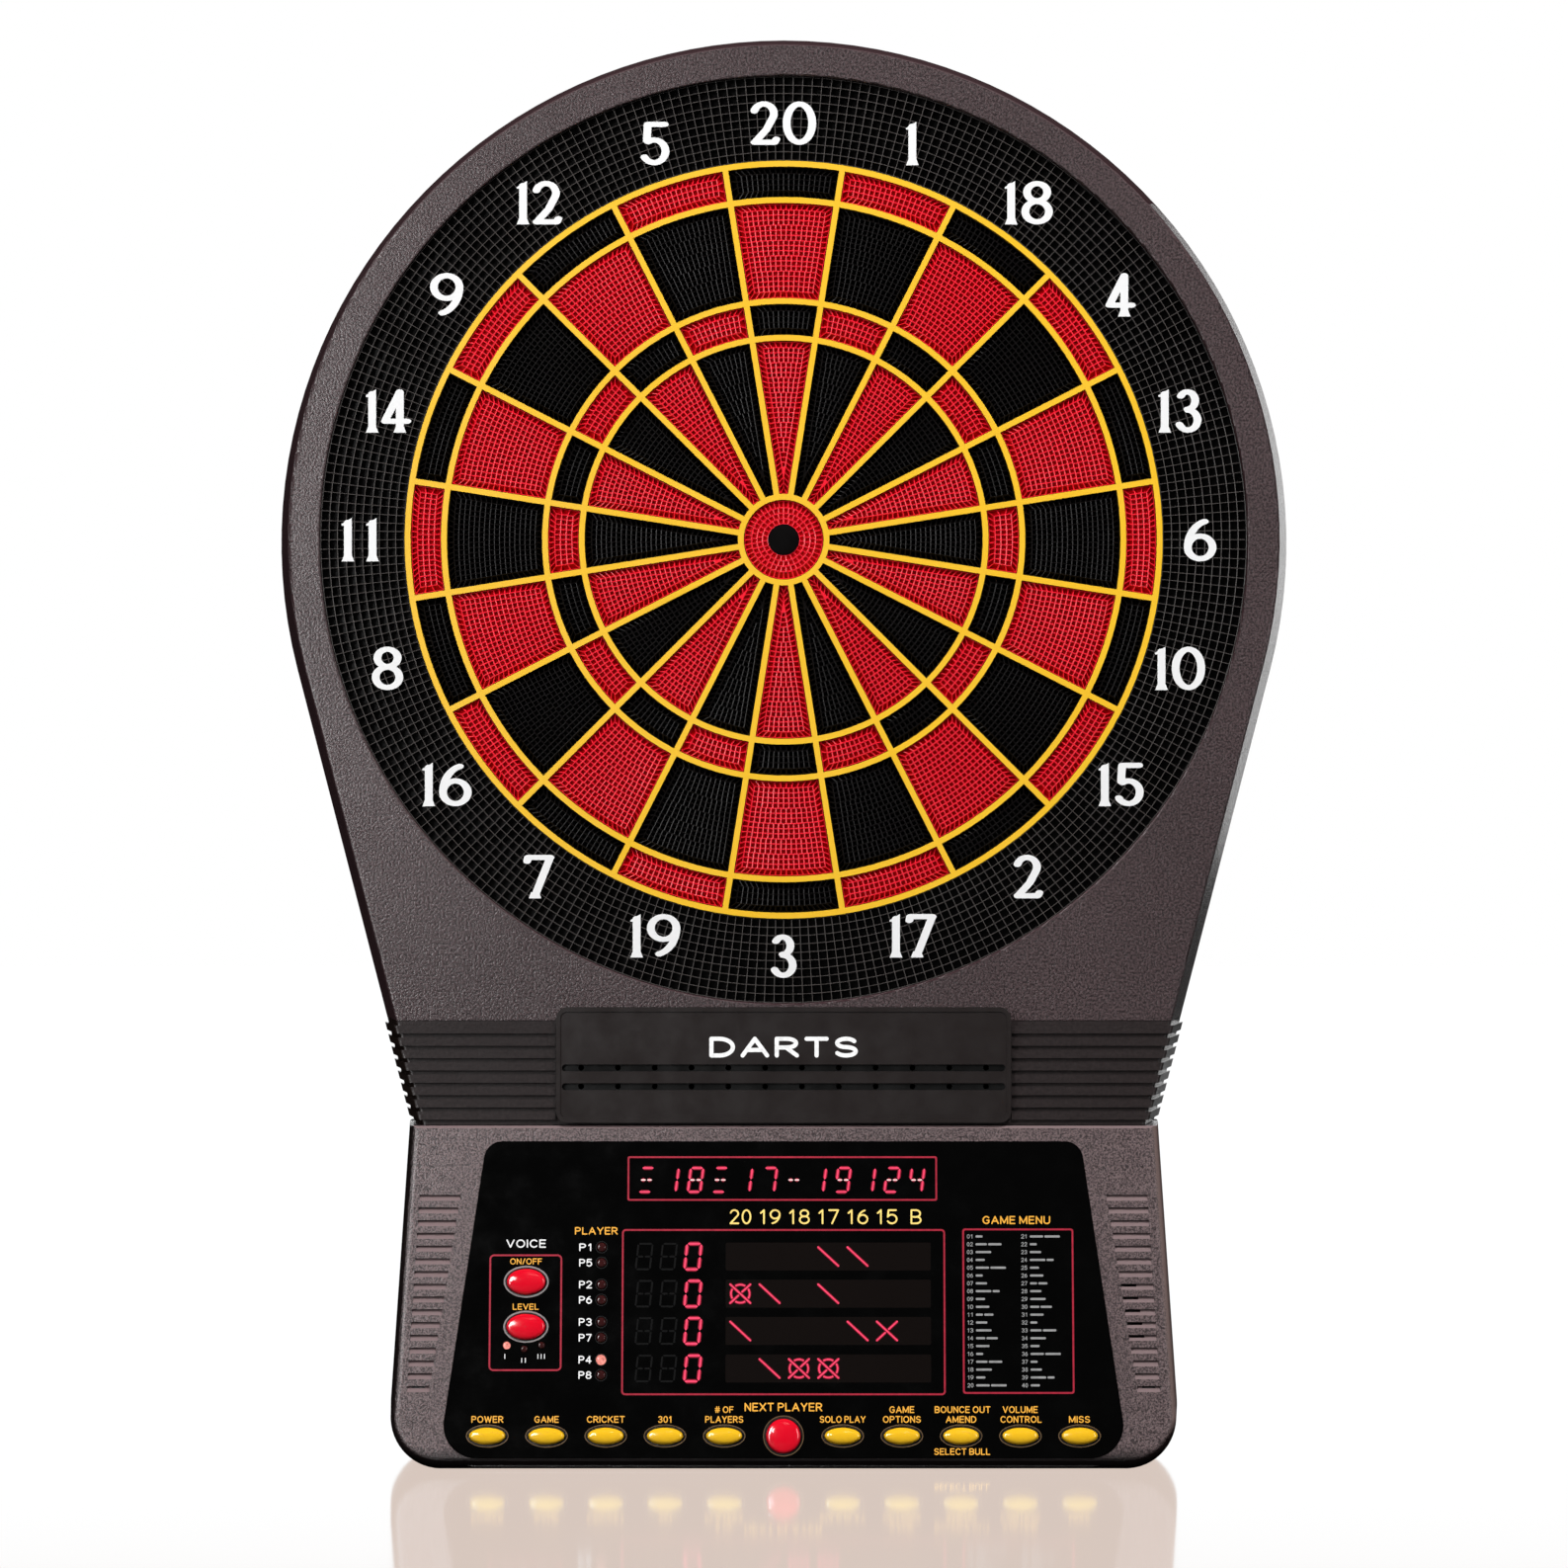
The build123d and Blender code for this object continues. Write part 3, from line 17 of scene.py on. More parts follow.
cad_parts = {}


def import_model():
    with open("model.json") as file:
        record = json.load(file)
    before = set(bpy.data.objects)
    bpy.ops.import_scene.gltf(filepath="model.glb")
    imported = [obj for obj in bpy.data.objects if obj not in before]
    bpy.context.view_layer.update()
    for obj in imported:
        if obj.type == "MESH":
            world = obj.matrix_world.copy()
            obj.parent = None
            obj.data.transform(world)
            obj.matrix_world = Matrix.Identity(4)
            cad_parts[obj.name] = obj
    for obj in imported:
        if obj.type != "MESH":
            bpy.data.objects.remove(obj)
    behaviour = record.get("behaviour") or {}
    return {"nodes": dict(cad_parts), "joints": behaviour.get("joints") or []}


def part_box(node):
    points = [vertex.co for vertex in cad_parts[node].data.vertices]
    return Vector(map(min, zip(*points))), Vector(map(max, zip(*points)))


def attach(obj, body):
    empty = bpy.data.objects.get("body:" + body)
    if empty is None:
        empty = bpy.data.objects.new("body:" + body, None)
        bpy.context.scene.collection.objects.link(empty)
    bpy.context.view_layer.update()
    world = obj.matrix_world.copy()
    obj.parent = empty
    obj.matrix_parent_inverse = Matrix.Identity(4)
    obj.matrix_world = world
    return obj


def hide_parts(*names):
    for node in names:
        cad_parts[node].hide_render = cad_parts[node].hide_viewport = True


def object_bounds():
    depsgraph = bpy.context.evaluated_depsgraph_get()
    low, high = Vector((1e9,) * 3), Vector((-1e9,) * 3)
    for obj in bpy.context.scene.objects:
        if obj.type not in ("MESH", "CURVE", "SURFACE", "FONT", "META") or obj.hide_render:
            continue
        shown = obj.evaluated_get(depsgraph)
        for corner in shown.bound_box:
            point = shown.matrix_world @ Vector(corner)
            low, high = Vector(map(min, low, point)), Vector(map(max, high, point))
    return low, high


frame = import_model()
CAD_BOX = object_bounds()
NODES = frame["nodes"]
MM = 0.001


# ---- Sizes read from the frame
FRONT_SLACK = 0.05  # vertices this close to a node's front count as on it


def front_depth(node):
    """How far out of the wall a node reaches, in mm."""
    return -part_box(node)[0][1] / MM


def back_depth(node):
    return -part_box(node)[1][1] / MM


def front_radii(node):
    """Smallest and largest distance from the bull axis of the vertices on a node's front face, in mm."""
    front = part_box(node)[0][1]
    near = front + FRONT_SLACK * MM
    radii = [math.hypot(p.co.x, p.co.z) for p in NODES[node].data.vertices if p.co.y < near]
    return min(radii) / MM, max(radii) / MM


SECTORS = 20
SECTOR = 360.0 / SECTORS
RING_FRONT = front_depth("catch_ring")
NUMBERS = (20, 1, 18, 4, 13, 6, 10, 15, 2, 17, 3, 19, 7, 16, 8, 11, 14, 9, 12, 5)

KEY_NODES = [node for node in NODES if node.endswith("_button")]
RED_KEYS = ("next_player_button", "voice_switch_button", "voice_level_button")
key_axis = next(j["axis"] for j in frame["joints"] if j["child"] == "next_player_button")
FACE_OUT = -Vector(key_axis).normalized()
FACE_UP = FACE_OUT.cross(Vector((1, 0, 0)))
LENS_POINTS = [p.co for p in NODES["console_lens"].data.vertices]
LENS_SURFACE = max(p.dot(FACE_OUT) for p in LENS_POINTS)
LENS_TOP = max(p.dot(FACE_UP) for p in LENS_POINTS)
LENS_FOOT = min(p.dot(FACE_UP) for p in LENS_POINTS)
LENS_TOP_V = -8.55  # the window starts this far below the console's top edge
FACE_ORIGIN = FACE_OUT * LENS_SURFACE + FACE_UP * (LENS_TOP - LENS_TOP_V * MM)

# ---- Cells of the target
CELL = 2.62  # pitch of the dart cells in the segments
RIB = 0.56
RIB_ROUNDING = 0.12  # how far a rib's top falls to its edge, and a pit's walls lean in
SMALLEST_CELL = 2.4  # in ribs: anything narrower is left flat
PIT = 3.4
EDGE_STRIP = 3.1  # sloping strip of cells round every segment
EDGE_DROP = 1.5
BAND_ROWS = 3  # the number of columns changes after this many rows
BULL_PIT = 2.6
BULL_ROWS = 3
BULL_EDGE_CELLS = 48
BULL_RECESS = 10.5  # hollow behind the outer bull, where the inner bull's lip moves
RING_RIB = 0.34
RING_PIT = 4.5
RING_COLUMNS = 300
RING_ROWS = 11
RING_THICKNESS = 10.5
SEGMENT_SET_BACK = 1.95  # from the middle of a divider to the segment's side
FLANGE_SET_BACK = 0.7
FLANGE_THICKNESS = 3.0

# ---- Numerals, in mm about the middle of each digit
NUMERAL_CIRCLE = 216.5
NUMERAL_HEIGHT = 22.6
NUMERAL_GAP = 1.6
ONES_GAP = 5.4  # between the two ones of eleven
ELEVEN_SHIFT = -3.6  # eleven stands this far off its place on the circle
NUMERAL_WIDTHS = (17.4, 7.4, 14.8, 14.0, 14.4, 14.8, 17.0, 15.4, 16.4, 17.4)
PEN = (2.05, 1.35)  # half the thickness of upright and of level strokes
STEM_X = {1: 0.4, 4: 2.6, 7: -2.4}  # middle of each foot that flares
FOOT_HALF = 3.3
FOOT_RISE = 3.2

# ---- Console artwork, in mm on the window
WINDOW_W = (-0.1, 0.03)  # back and front of each layer, measured from the window's surface
BLOOM_W = (-0.1, 0.05)
PRINT_W = (-0.1, 0.06)
BARS_W = (-0.1, 0.1)
RACK_PRINT = (-0.1, 0.12)  # the same for the word on the rack's plate
MARQUEE = ("agd", "bc", "abcdefg", "agd", "bc", "abc", "g", "bc", "abcdfg", "bc", "abged", "bcfg")
MARQUEE_U, MARQUEE_PITCH, MARQUEE_V = -71.0, 12.72, -28.4
MARQUEE_SIZE = (3.2, 6.2)  # half width and half height of a character's bars
MARQUEE_SLANT = 7.5
MARQUEE_BAR, MARQUEE_DASH, MARQUEE_BLOOM = 0.85, 0.8, 1.9
SCORES_U = (-72.0, -59.4, -46.8)
SCORE_SIZE = (3.65, 6.6)
SCORE_SLANT = 6.0
SCORE_BAR, SCORE_BLOOM = 0.95, 2.1
BAR_GAP = 0.3  # from a character's corner to the end of each bar
ROWS_V = (-68.1, -87.3, -106.5, -125.8)
MARK_U, MARK_PITCH = -22.3, 15.13
MARK_SIZE = (5.6, 5.2)
MARK_BAR, MARK_BLOOM = 0.7, 1.5
MARK_ROWS = ("...ss..", "Os.s...", "s...sX.", ".sOO...")  # s: slash, X: cross, O: cross in a circle
MARK_GAP = 0.6  # half the gap where the second stroke of a cross passes the first
MARK_CIRCLE = (4.816, 4.68)
MARK_WINDOW_HALF = 7.2
LINE = 0.9
FRAMES = (
    ((-80.8, 79.5), (-39.2, -16.1), 1.0),
    ((-83.5, 83.5), (-139.5, -53.9), 2.0),
    ((92.4, 149.8), (-138.8, -53.6), 1.4),
    ((-151.9, -114.3), (-127.1, -67.0), 2.5),
)
LETTER_PEN = 0.078  # half the stroke of the lettering, for a height of one
LIGHT_PEN = 0.056
HEAVY_PEN = 0.1
LETTER_GAP = 0.27
MENU_U = (96.3, 124.3)
MENU_TOP_V, MENU_PITCH, MENU_ROWS = -57.7, 4.04, 20
MENU_NUMBER = (3.1, 2.2)
MENU_GAP, MENU_SPACE = 1.4, 0.7  # after a line's number, and between its words
MENU_WORD, MENU_WORD_STEP = 3.6, 1.1  # shortest word, and the step its length grows by
MENU_BAR = 0.55  # half the height of a word's bar
KEY_PITCH = 30.44
LABEL_V, UPPER_LABEL_V = -151.9, -146.9
LAMP_U = -94.0
LAMP_ROWS = (("P1", -63.3), ("P5", -71.3), ("P2", -82.6), ("P6", -90.5),
             ("P3", -101.9), ("P7", -110.0), ("P4", -121.3), ("P8", -129.2))
LIT_LAMP_V = -121.3
LAMP_RIM = (2.75, 3.15)
LEVEL_LAMPS = ((-142.6, -113.9), (-133.6, -115.8), (-124.7, -113.9))
# text, u, v of its middle, width and height
ORANGE_LABELS = (
    ("POWER", -5 * KEY_PITCH, LABEL_V, 16.4, 3.5),
    ("GAME", -4 * KEY_PITCH, LABEL_V, 12.6, 3.5),
    ("CRICKET", -3 * KEY_PITCH, LABEL_V, 19.5, 3.5),
    ("301", -2 * KEY_PITCH, LABEL_V, 7.2, 3.5),
    ("# OF", -KEY_PITCH, UPPER_LABEL_V, 9.6, 3.4),
    ("PLAYERS", -KEY_PITCH, LABEL_V, 19.6, 3.5),
    ("NEXT PLAYER", 0.0, -145.6, 40.0, 4.4),
    ("SOLO PLAY", KEY_PITCH, LABEL_V, 23.6, 3.5),
    ("GAME", 2 * KEY_PITCH, UPPER_LABEL_V, 12.8, 3.5),
    ("OPTIONS", 2 * KEY_PITCH, LABEL_V, 19.5, 3.5),
    ("BOUNCE OUT", 3 * KEY_PITCH + 0.8, UPPER_LABEL_V, 28.7, 3.5),
    ("AMEND", 3 * KEY_PITCH, LABEL_V, 15.7, 3.5),
    ("SELECT BULL", 3 * KEY_PITCH + 0.5, -168.4, 28.8, 3.4),
    ("VOLUME", 4 * KEY_PITCH, UPPER_LABEL_V, 18.1, 3.5),
    ("CONTROL", 4 * KEY_PITCH + 0.4, LABEL_V, 21.2, 3.5),
    ("MISS", 5 * KEY_PITCH, LABEL_V, 10.8, 3.5),
    ("PLAYER", -96.8, -54.8, 22.1, 3.9),
    ("ON/OFF", -133.0, -70.6, 16.5, 3.2),
    ("LEVEL", -133.0, -94.0, 13.4, 3.2),
    ("GAME MENU", 120.4, -49.2, 35.0, 4.2),
)
WHITE_LABELS = tuple((text, -102.2, v, 6.7, 4.0) for text, v in LAMP_ROWS) + (
    ("VOICE", -133.0, -61.4, 20.5, 4.3),
    ("I", -143.3, -119.6, 0.9, 2.6),
    ("II", -133.9, -121.6, 2.3, 2.6),
    ("III", -124.8, -119.6, 3.8, 2.6),
)
COLUMN_HEADS = ("20", "19", "18", "17", "16", "15", "B")
COLUMN_HEAD_V, COLUMN_HEAD_SIZE = -47.5, (11.2, 7.7)
RACK_WORD = ("DARTS", 0.0, -263.4, 77.0, 10.8)
RACK_STEP = 0.7  # the rack's plate lies this far behind its rim
KEY_LIP = 1.9  # a key's hidden lip reaches this far beyond its cap
RIM_GAP = (1.3, 1.75)  # the rim round a key's hole, painted bright as a reflection, measured from the cap
VOICE_RIM_GAP = (0.9, 1.75)

# ---- Stage
CAMERA_PLACE = (0.01, -3.057, -0.127)
CAMERA_LENS = 132.5
WORLD_DIFFUSE = 0.3  # how bright the surroundings are from above, for soft light
WORLD_GLOSSY = 0.02  # and in reflections
FLOOR_HALF = 8.0
FLOOR_TINT = (0.68, 0.57, 0.51)  # the part of the floor's white that the board's image can't darken
MIRROR_GAIN = 1.09  # makes up for what the blurred mirror loses, so the floor stays white


# ---- Mesh helpers
class Shape:
    """Points and faces gathered for one piece, in mm, as (x, z, depth) or (u, v, w)."""

    def __init__(self):
        self.points = []
        self.faces = []

    def add(self, points):
        first = len(self.points)
        self.points.extend(points)
        return list(range(first, len(self.points)))

    def face(self, points):
        self.faces.append(self.add(points))

    def strip(self, loop_a, loop_b):
        """Quads between two closed loops of the same length."""
        count = len(loop_a)
        a, b = self.add(loop_a), self.add(loop_b)
        for i in range(count):
            j = (i + 1) % count
            self.faces.append((a[i], a[j], b[j], b[i]))

    def cap(self, loop):
        """Closes the back of a loop with a fan about its middle."""
        centre = tuple(sum(p[i] for p in loop) / len(loop) for i in range(3))
        ids, middle = self.add(loop), self.add([centre])[0]
        for i in range(len(loop)):
            self.faces.append((middle, ids[(i + 1) % len(loop)], ids[i]))


def in_scene(name, data):
    """A new object for a mesh, a light or a camera."""
    obj = bpy.data.objects.new(name, data)
    bpy.context.scene.collection.objects.link(obj)
    return obj


def new_object(name, points, faces, material, weld=0.004 * MM):
    """A mesh object from points in metres, with touching points welded."""
    mesh = bpy.data.meshes.new(name)
    mesh.from_pydata(points, [], faces)
    work = bmesh.new()
    work.from_mesh(mesh)
    bmesh.ops.remove_doubles(work, verts=work.verts, dist=weld)
    bmesh.ops.dissolve_degenerate(work, edges=work.edges, dist=weld / 4)
    bmesh.ops.recalc_face_normals(work, faces=work.faces)
    work.to_mesh(mesh)
    work.free()
    mesh.materials.append(material)
    return in_scene(name, mesh)


def wall_point(point):
    """(x, z, depth) in mm to the frame, in metres."""
    return (point[0] * MM, -point[2] * MM, point[1] * MM)


def face_point(point):
    """(u, v, w) in mm on the console to the frame, in metres."""
    place = FACE_ORIGIN + FACE_OUT * (point[2] * MM) + FACE_UP * (point[1] * MM)
    return (place.x + point[0] * MM, place.y, place.z)


def build(name, shape, material, body, replaces=(), place=wall_point):
    obj = new_object(name, [place(p) for p in shape.points], shape.faces, material)
    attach(obj, body)
    if replaces:
        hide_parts(*replaces)
    return obj


def build_on_window(name, shape, material):
    obj = build(name, shape, material, "board", place=face_point)


def polar(radius, angle):
    """0 degrees is straight up and angles grow clockwise, as the numbers of the target do."""
    return (radius * math.sin(math.radians(angle)), radius * math.cos(math.radians(angle)))


def mix(a, b, t):
    return tuple(x + (y - x) * t for x, y in zip(a, b))


def steps(start, end, count):
    return [start + (end - start) * i / count for i in range(count + 1)]


# ---- Cells
def cell(shape, corners, rib, pit):
    """One dart cell: ribs round a tapering pit. The corners run anticlockwise seen from the front."""
    a, b, c, d = corners
    width = (math.dist(a[:2], b[:2]) + math.dist(d[:2], c[:2])) / 2
    height = (math.dist(a[:2], d[:2]) + math.dist(b[:2], c[:2])) / 2
    if min(width, height) < SMALLEST_CELL * rib:
        shape.face(corners)
        return

    def inner(inset, drop):
        u, v = (rib / 2 + inset) / width, (rib / 2 + inset) / height
        low_a, low_b, high_a, high_b = mix(a, b, u), mix(a, b, 1 - u), mix(d, c, u), mix(d, c, 1 - u)
        sides = ((low_a, high_a, v), (low_b, high_b, v), (low_b, high_b, 1 - v), (low_a, high_a, 1 - v))
        return [(x, z, depth - drop) for x, z, depth in [mix(*side) for side in sides]]

    edge = inner(0, RIB_ROUNDING)
    floor = inner(RIB_ROUNDING, pit)
    shape.strip(list(corners), edge)
    shape.strip(edge, floor)
    shape.face(floor)


def cell_row(shape, lower, upper, rib, pit):
    """A row of cells between two lines of points that run the same way."""
    for i in range(len(lower) - 1):
        cell(shape, (lower[i], lower[i + 1], upper[i + 1], upper[i]), rib, pit)


def half_angle(radius, set_back):
    """Half the angle of a sector at a radius, with its sides set back from the dividers' middles."""
    return SECTOR / 2 - math.degrees(math.asin(min(1.0, set_back / radius)))


def arc_points(radius, half, count, depth):
    """Points from left to right along an arc centred on straight up."""
    return [polar(radius, half * (2 * i / count - 1)) + (depth,) for i in range(count + 1)]


def columns_at(radius, half):
    """How many cells fit across an arc."""
    return max(1, round(2 * math.radians(half) * radius / CELL))


def edge_strips(shape, r_in, r_out, front, inner_half):
    """The sloping strips of cells along the four sides of a segment."""
    low = front - EDGE_DROP
    edge_in, edge_out = r_in + EDGE_STRIP, r_out - EDGE_STRIP
    rows = max(1, round((edge_out - edge_in) / CELL))
    for side in (-1, 1):
        rim = [polar(r, side * half_angle(r, SEGMENT_SET_BACK)) + (low,) for r in steps(r_in, r_out, rows)]
        ridge = [polar(r, side * inner_half(r)) + (front,) for r in steps(edge_in, edge_out, rows)]
        cell_row(shape, *((rim, ridge) if side > 0 else (ridge, rim)), RIB, PIT)
    for rim_r, ridge_r in ((r_in, edge_in), (r_out, edge_out)):
        count = columns_at(rim_r, max(inner_half(rim_r), 1.0))
        rim = arc_points(rim_r, half_angle(rim_r, SEGMENT_SET_BACK), count, low)
        ridge = arc_points(ridge_r, inner_half(ridge_r), count, front)
        cell_row(shape, *((rim, ridge) if rim_r < ridge_r else (ridge, rim)), RIB, PIT)


def sector_cells(shape, r_in, r_out, front):
    """The cell pattern of one segment that points straight up."""

    def inner_half(radius):
        return max(0.0, half_angle(radius, SEGMENT_SET_BACK + EDGE_STRIP))

    edge_strips(shape, r_in, r_out, front, inner_half)
    edge_in, edge_out = r_in + EDGE_STRIP, r_out - EDGE_STRIP
    rows = max(1, round((edge_out - edge_in) / CELL))
    radii = steps(edge_in, edge_out, rows)
    for row in range(rows):
        band_end = rows - (rows - 1 - row) // BAND_ROWS * BAND_ROWS
        middle = radii[max(0, band_end - BAND_ROWS)] / 2 + radii[band_end] / 2
        columns = columns_at(middle, inner_half(middle))
        lines = [arc_points(radii[r], inner_half(radii[r]), columns, front) for r in (row, row + 1)]
        if inner_half(radii[row + 1]) > 0:
            cell_row(shape, *lines, RIB, PIT)


def sector_loop(r_in, r_out, set_back, depth, count=12):
    """The outline of a segment, anticlockwise, starting at its inner left corner."""
    inner = arc_points(r_in, half_angle(r_in, set_back), count, depth)
    outer = arc_points(r_out, half_angle(r_out, set_back), count, depth)
    return inner + outer[::-1]


def turned(points, angle):
    """Points turned clockwise about the bull."""
    c, s = math.cos(math.radians(angle)), math.sin(math.radians(angle))
    return [(x * c + z * s, z * c - x * s, depth) for x, z, depth in points]


def segment(node):
    """One segment pointing straight up, with its cells, sides, retaining lip and back."""
    r_in, r_out = front_radii(node)
    front, back = front_depth(node), back_depth(node)
    shape = Shape()
    sector_cells(shape, r_in, r_out, front)
    lap = SEGMENT_SET_BACK - FLANGE_SET_BACK
    lip_front = back + FLANGE_THICKNESS
    loops = [
        sector_loop(r_in, r_out, SEGMENT_SET_BACK, front - EDGE_DROP),
        sector_loop(r_in, r_out, SEGMENT_SET_BACK, lip_front),
        sector_loop(r_in - lap, r_out + lap, FLANGE_SET_BACK, lip_front),
        sector_loop(r_in - lap, r_out + lap, FLANGE_SET_BACK, back),
    ]
    for upper, lower in zip(loops, loops[1:]):
        shape.strip(upper, lower)
    shape.cap(loops[-1])
    return shape


def segment_group(ring, colour, material):
    """The ten segments of one ring and colour."""
    node = f"{ring}_segments_{colour}"
    one = segment(node)
    top_is_black = ring in ("double", "treble")
    start = 0 if (colour == "black") == top_is_black else 1
    shape = Shape()
    for i in range(start, SECTORS, 2):
        ids = shape.add(turned(one.points, i * SECTOR))
        shape.faces += [tuple(ids[k] for k in face) for face in one.faces]
    build(node + "_cells", shape, material, node, [node])


def ring_of_cells(shape, r_in, r_out, depth_in, depth_out, count, rib, pit):
    """One full ring of cells."""
    angles = [-360.0 * i / count for i in range(count + 1)]
    inner = [polar(r_in, a) + (depth_in,) for a in angles]
    outer = [polar(r_out, a) + (depth_out,) for a in angles]
    cell_row(shape, outer, inner, rib, pit)


def circle_loop(radius, depth, count):
    return [polar(radius, -360.0 * i / count) + (depth,) for i in range(count)]


def turned_profile(shape, profile, count):
    """A profile of (radius, depth) points turned about the bull axis."""
    for (r_a, d_a), (r_b, d_b) in zip(profile, profile[1:]):
        shape.strip(circle_loop(r_a, d_a, count), circle_loop(r_b, d_b, count))


def outer_bull_cells(material):
    r_in, r_out = front_radii("outer_bull")
    front, back = front_depth("outer_bull"), back_depth("outer_bull")
    lip, lip_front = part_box("outer_bull")[1][0] / MM, back + FLANGE_THICKNESS
    shape = Shape()
    edge = r_out - EDGE_STRIP - RIB
    radii = steps(r_in, edge, BULL_ROWS)
    for r_low, r_high in zip(radii, radii[1:]):
        count = round(math.pi * (r_low + r_high) / CELL)
        ring_of_cells(shape, r_low, r_high, front, front, count, RIB, BULL_PIT)
    ring_of_cells(shape, edge, r_out, front, front - EDGE_DROP, BULL_EDGE_CELLS, RIB, BULL_PIT)
    profile = [(r_out, front - EDGE_DROP), (r_out, lip_front), (lip, lip_front), (lip, back),
               (BULL_RECESS, back), (BULL_RECESS, lip_front), (r_in, lip_front), (r_in, front)]
    turned_profile(shape, profile, 2 * BULL_EDGE_CELLS)
    build("outer_bull_cells", shape, material, "outer_bull", ["outer_bull"])


def catch_ring_cells(material):
    r_in, r_out = front_radii("catch_ring")
    shape = Shape()
    rows = steps(r_in, r_out, RING_ROWS)
    for r_low, r_high in zip(rows, rows[1:]):
        ring_of_cells(shape, r_low, r_high, RING_FRONT, RING_FRONT, RING_COLUMNS, RING_RIB, RING_PIT)
    back = RING_FRONT - RING_THICKNESS
    profile = [(r_out, RING_FRONT), (r_out, back), (r_in, back), (r_in, RING_FRONT)]
    turned_profile(shape, profile, RING_COLUMNS)
    build("catch_ring_cells", shape, material, "board", ["catch_ring"])


# ---- Flat artwork
def add_flat(shape, points, faces, back, front):
    """Flat faces made into a closed plate between two heights."""
    if sum(signed_area(points, face) for face in faces) < 0:
        faces = [tuple(reversed(face)) for face in faces]
    top = shape.add([(x, y, front) for x, y in points])
    low = shape.add([(x, y, back) for x, y in points])
    edges = {(a, b) for face in faces for a, b in zip(face, face[1:] + face[:1])}
    shape.faces += [tuple(top[i] for i in face) for face in faces]
    shape.faces += [tuple(low[i] for i in reversed(face)) for face in faces]
    shape.faces += [(low[a], low[b], top[b], top[a]) for a, b in sorted(edges) if (b, a) not in edges]


def signed_area(points, face):
    """Twice the area of a flat face, positive when it runs anticlockwise."""
    corners = [points[i] for i in face]
    return sum(a[0] * b[1] - b[0] * a[1] for a, b in zip(corners, corners[1:] + corners[:1]))


def add_outline(shape, outline, back, front):
    add_flat(shape, outline, [tuple(range(len(outline)))], back, front)


def add_ring(shape, outer, inner, back, front):
    """The area between two loops of the same length, as a closed plate."""
    corners = ((outer, back), (outer, front), (inner, front), (inner, back), (outer, back))
    loops = [[(x, y, height) for x, y in loop] for loop, height in corners]
    for loop_a, loop_b in zip(loops, loops[1:]):
        shape.strip(loop_a, loop_b)


def bar_outline(start, end, width, taper=0.5):
    """A stroke with pointed ends, as the bars of a display have."""
    length = math.dist(start, end)
    along = ((end[0] - start[0]) / length, (end[1] - start[1]) / length)
    side = (-along[1] * width / 2, along[0] * width / 2)
    tip = width * taper
    near = (start[0] + along[0] * tip, start[1] + along[1] * tip)
    far = (end[0] - along[0] * tip, end[1] - along[1] * tip)
    return [start, (near[0] - side[0], near[1] - side[1]), (far[0] - side[0], far[1] - side[1]),
            end, (far[0] + side[0], far[1] + side[1]), (near[0] + side[0], near[1] + side[1])]


def arc(centre, radii, start, sweep, count=18):
    """Points along an ellipse; 0 degrees is to the right and angles grow anticlockwise."""
    angles = [math.radians(start + sweep * i / count) for i in range(count + 1)]
    return [(centre[0] + radii[0] * math.cos(a), centre[1] + radii[1] * math.sin(a)) for a in angles]


def ellipse_loop(centre, radii, count=40):
    return arc(centre, radii, 0, 360, count)[:-1]


def rounded_loop(u_range, v_range, radius, corner_steps=6):
    """A rectangle with round corners, anticlockwise."""
    (u0, u1), (v0, v1), r = u_range, v_range, radius
    corners = ((u1 - r, v0 + r, -90), (u1 - r, v1 - r, 0), (u0 + r, v1 - r, 90), (u0 + r, v0 + r, 180))
    return [point for u, v, start in corners for point in arc((u, v), (r, r), start, 90, corner_steps)]


def loop_letter(centre, radii):
    return arc(centre, radii, 90, 360, 24)


UPRIGHT = [(0, 0), (0, 1)]
BOWL = arc((0.28, 0.74), (0.26, 0.26), 90, -180, 10)
LOW_BOWL = arc((0.3, 0.25), (0.27, 0.25), -90, 180, 10)
OPEN_ROUND = arc((0.34, 0.5), (0.34, 0.5), 42, 276, 20)
S_TOP = arc((0.27, 0.75), (0.25, 0.25), 25, 245, 14)
S_FOOT = arc((0.27, 0.25), (0.27, 0.25), 90, -245, 14)
THREE_TOP = arc((0.25, 0.75), (0.24, 0.25), 150, -240, 12)
THREE_FOOT = arc((0.25, 0.27), (0.27, 0.27), 90, -240, 12)
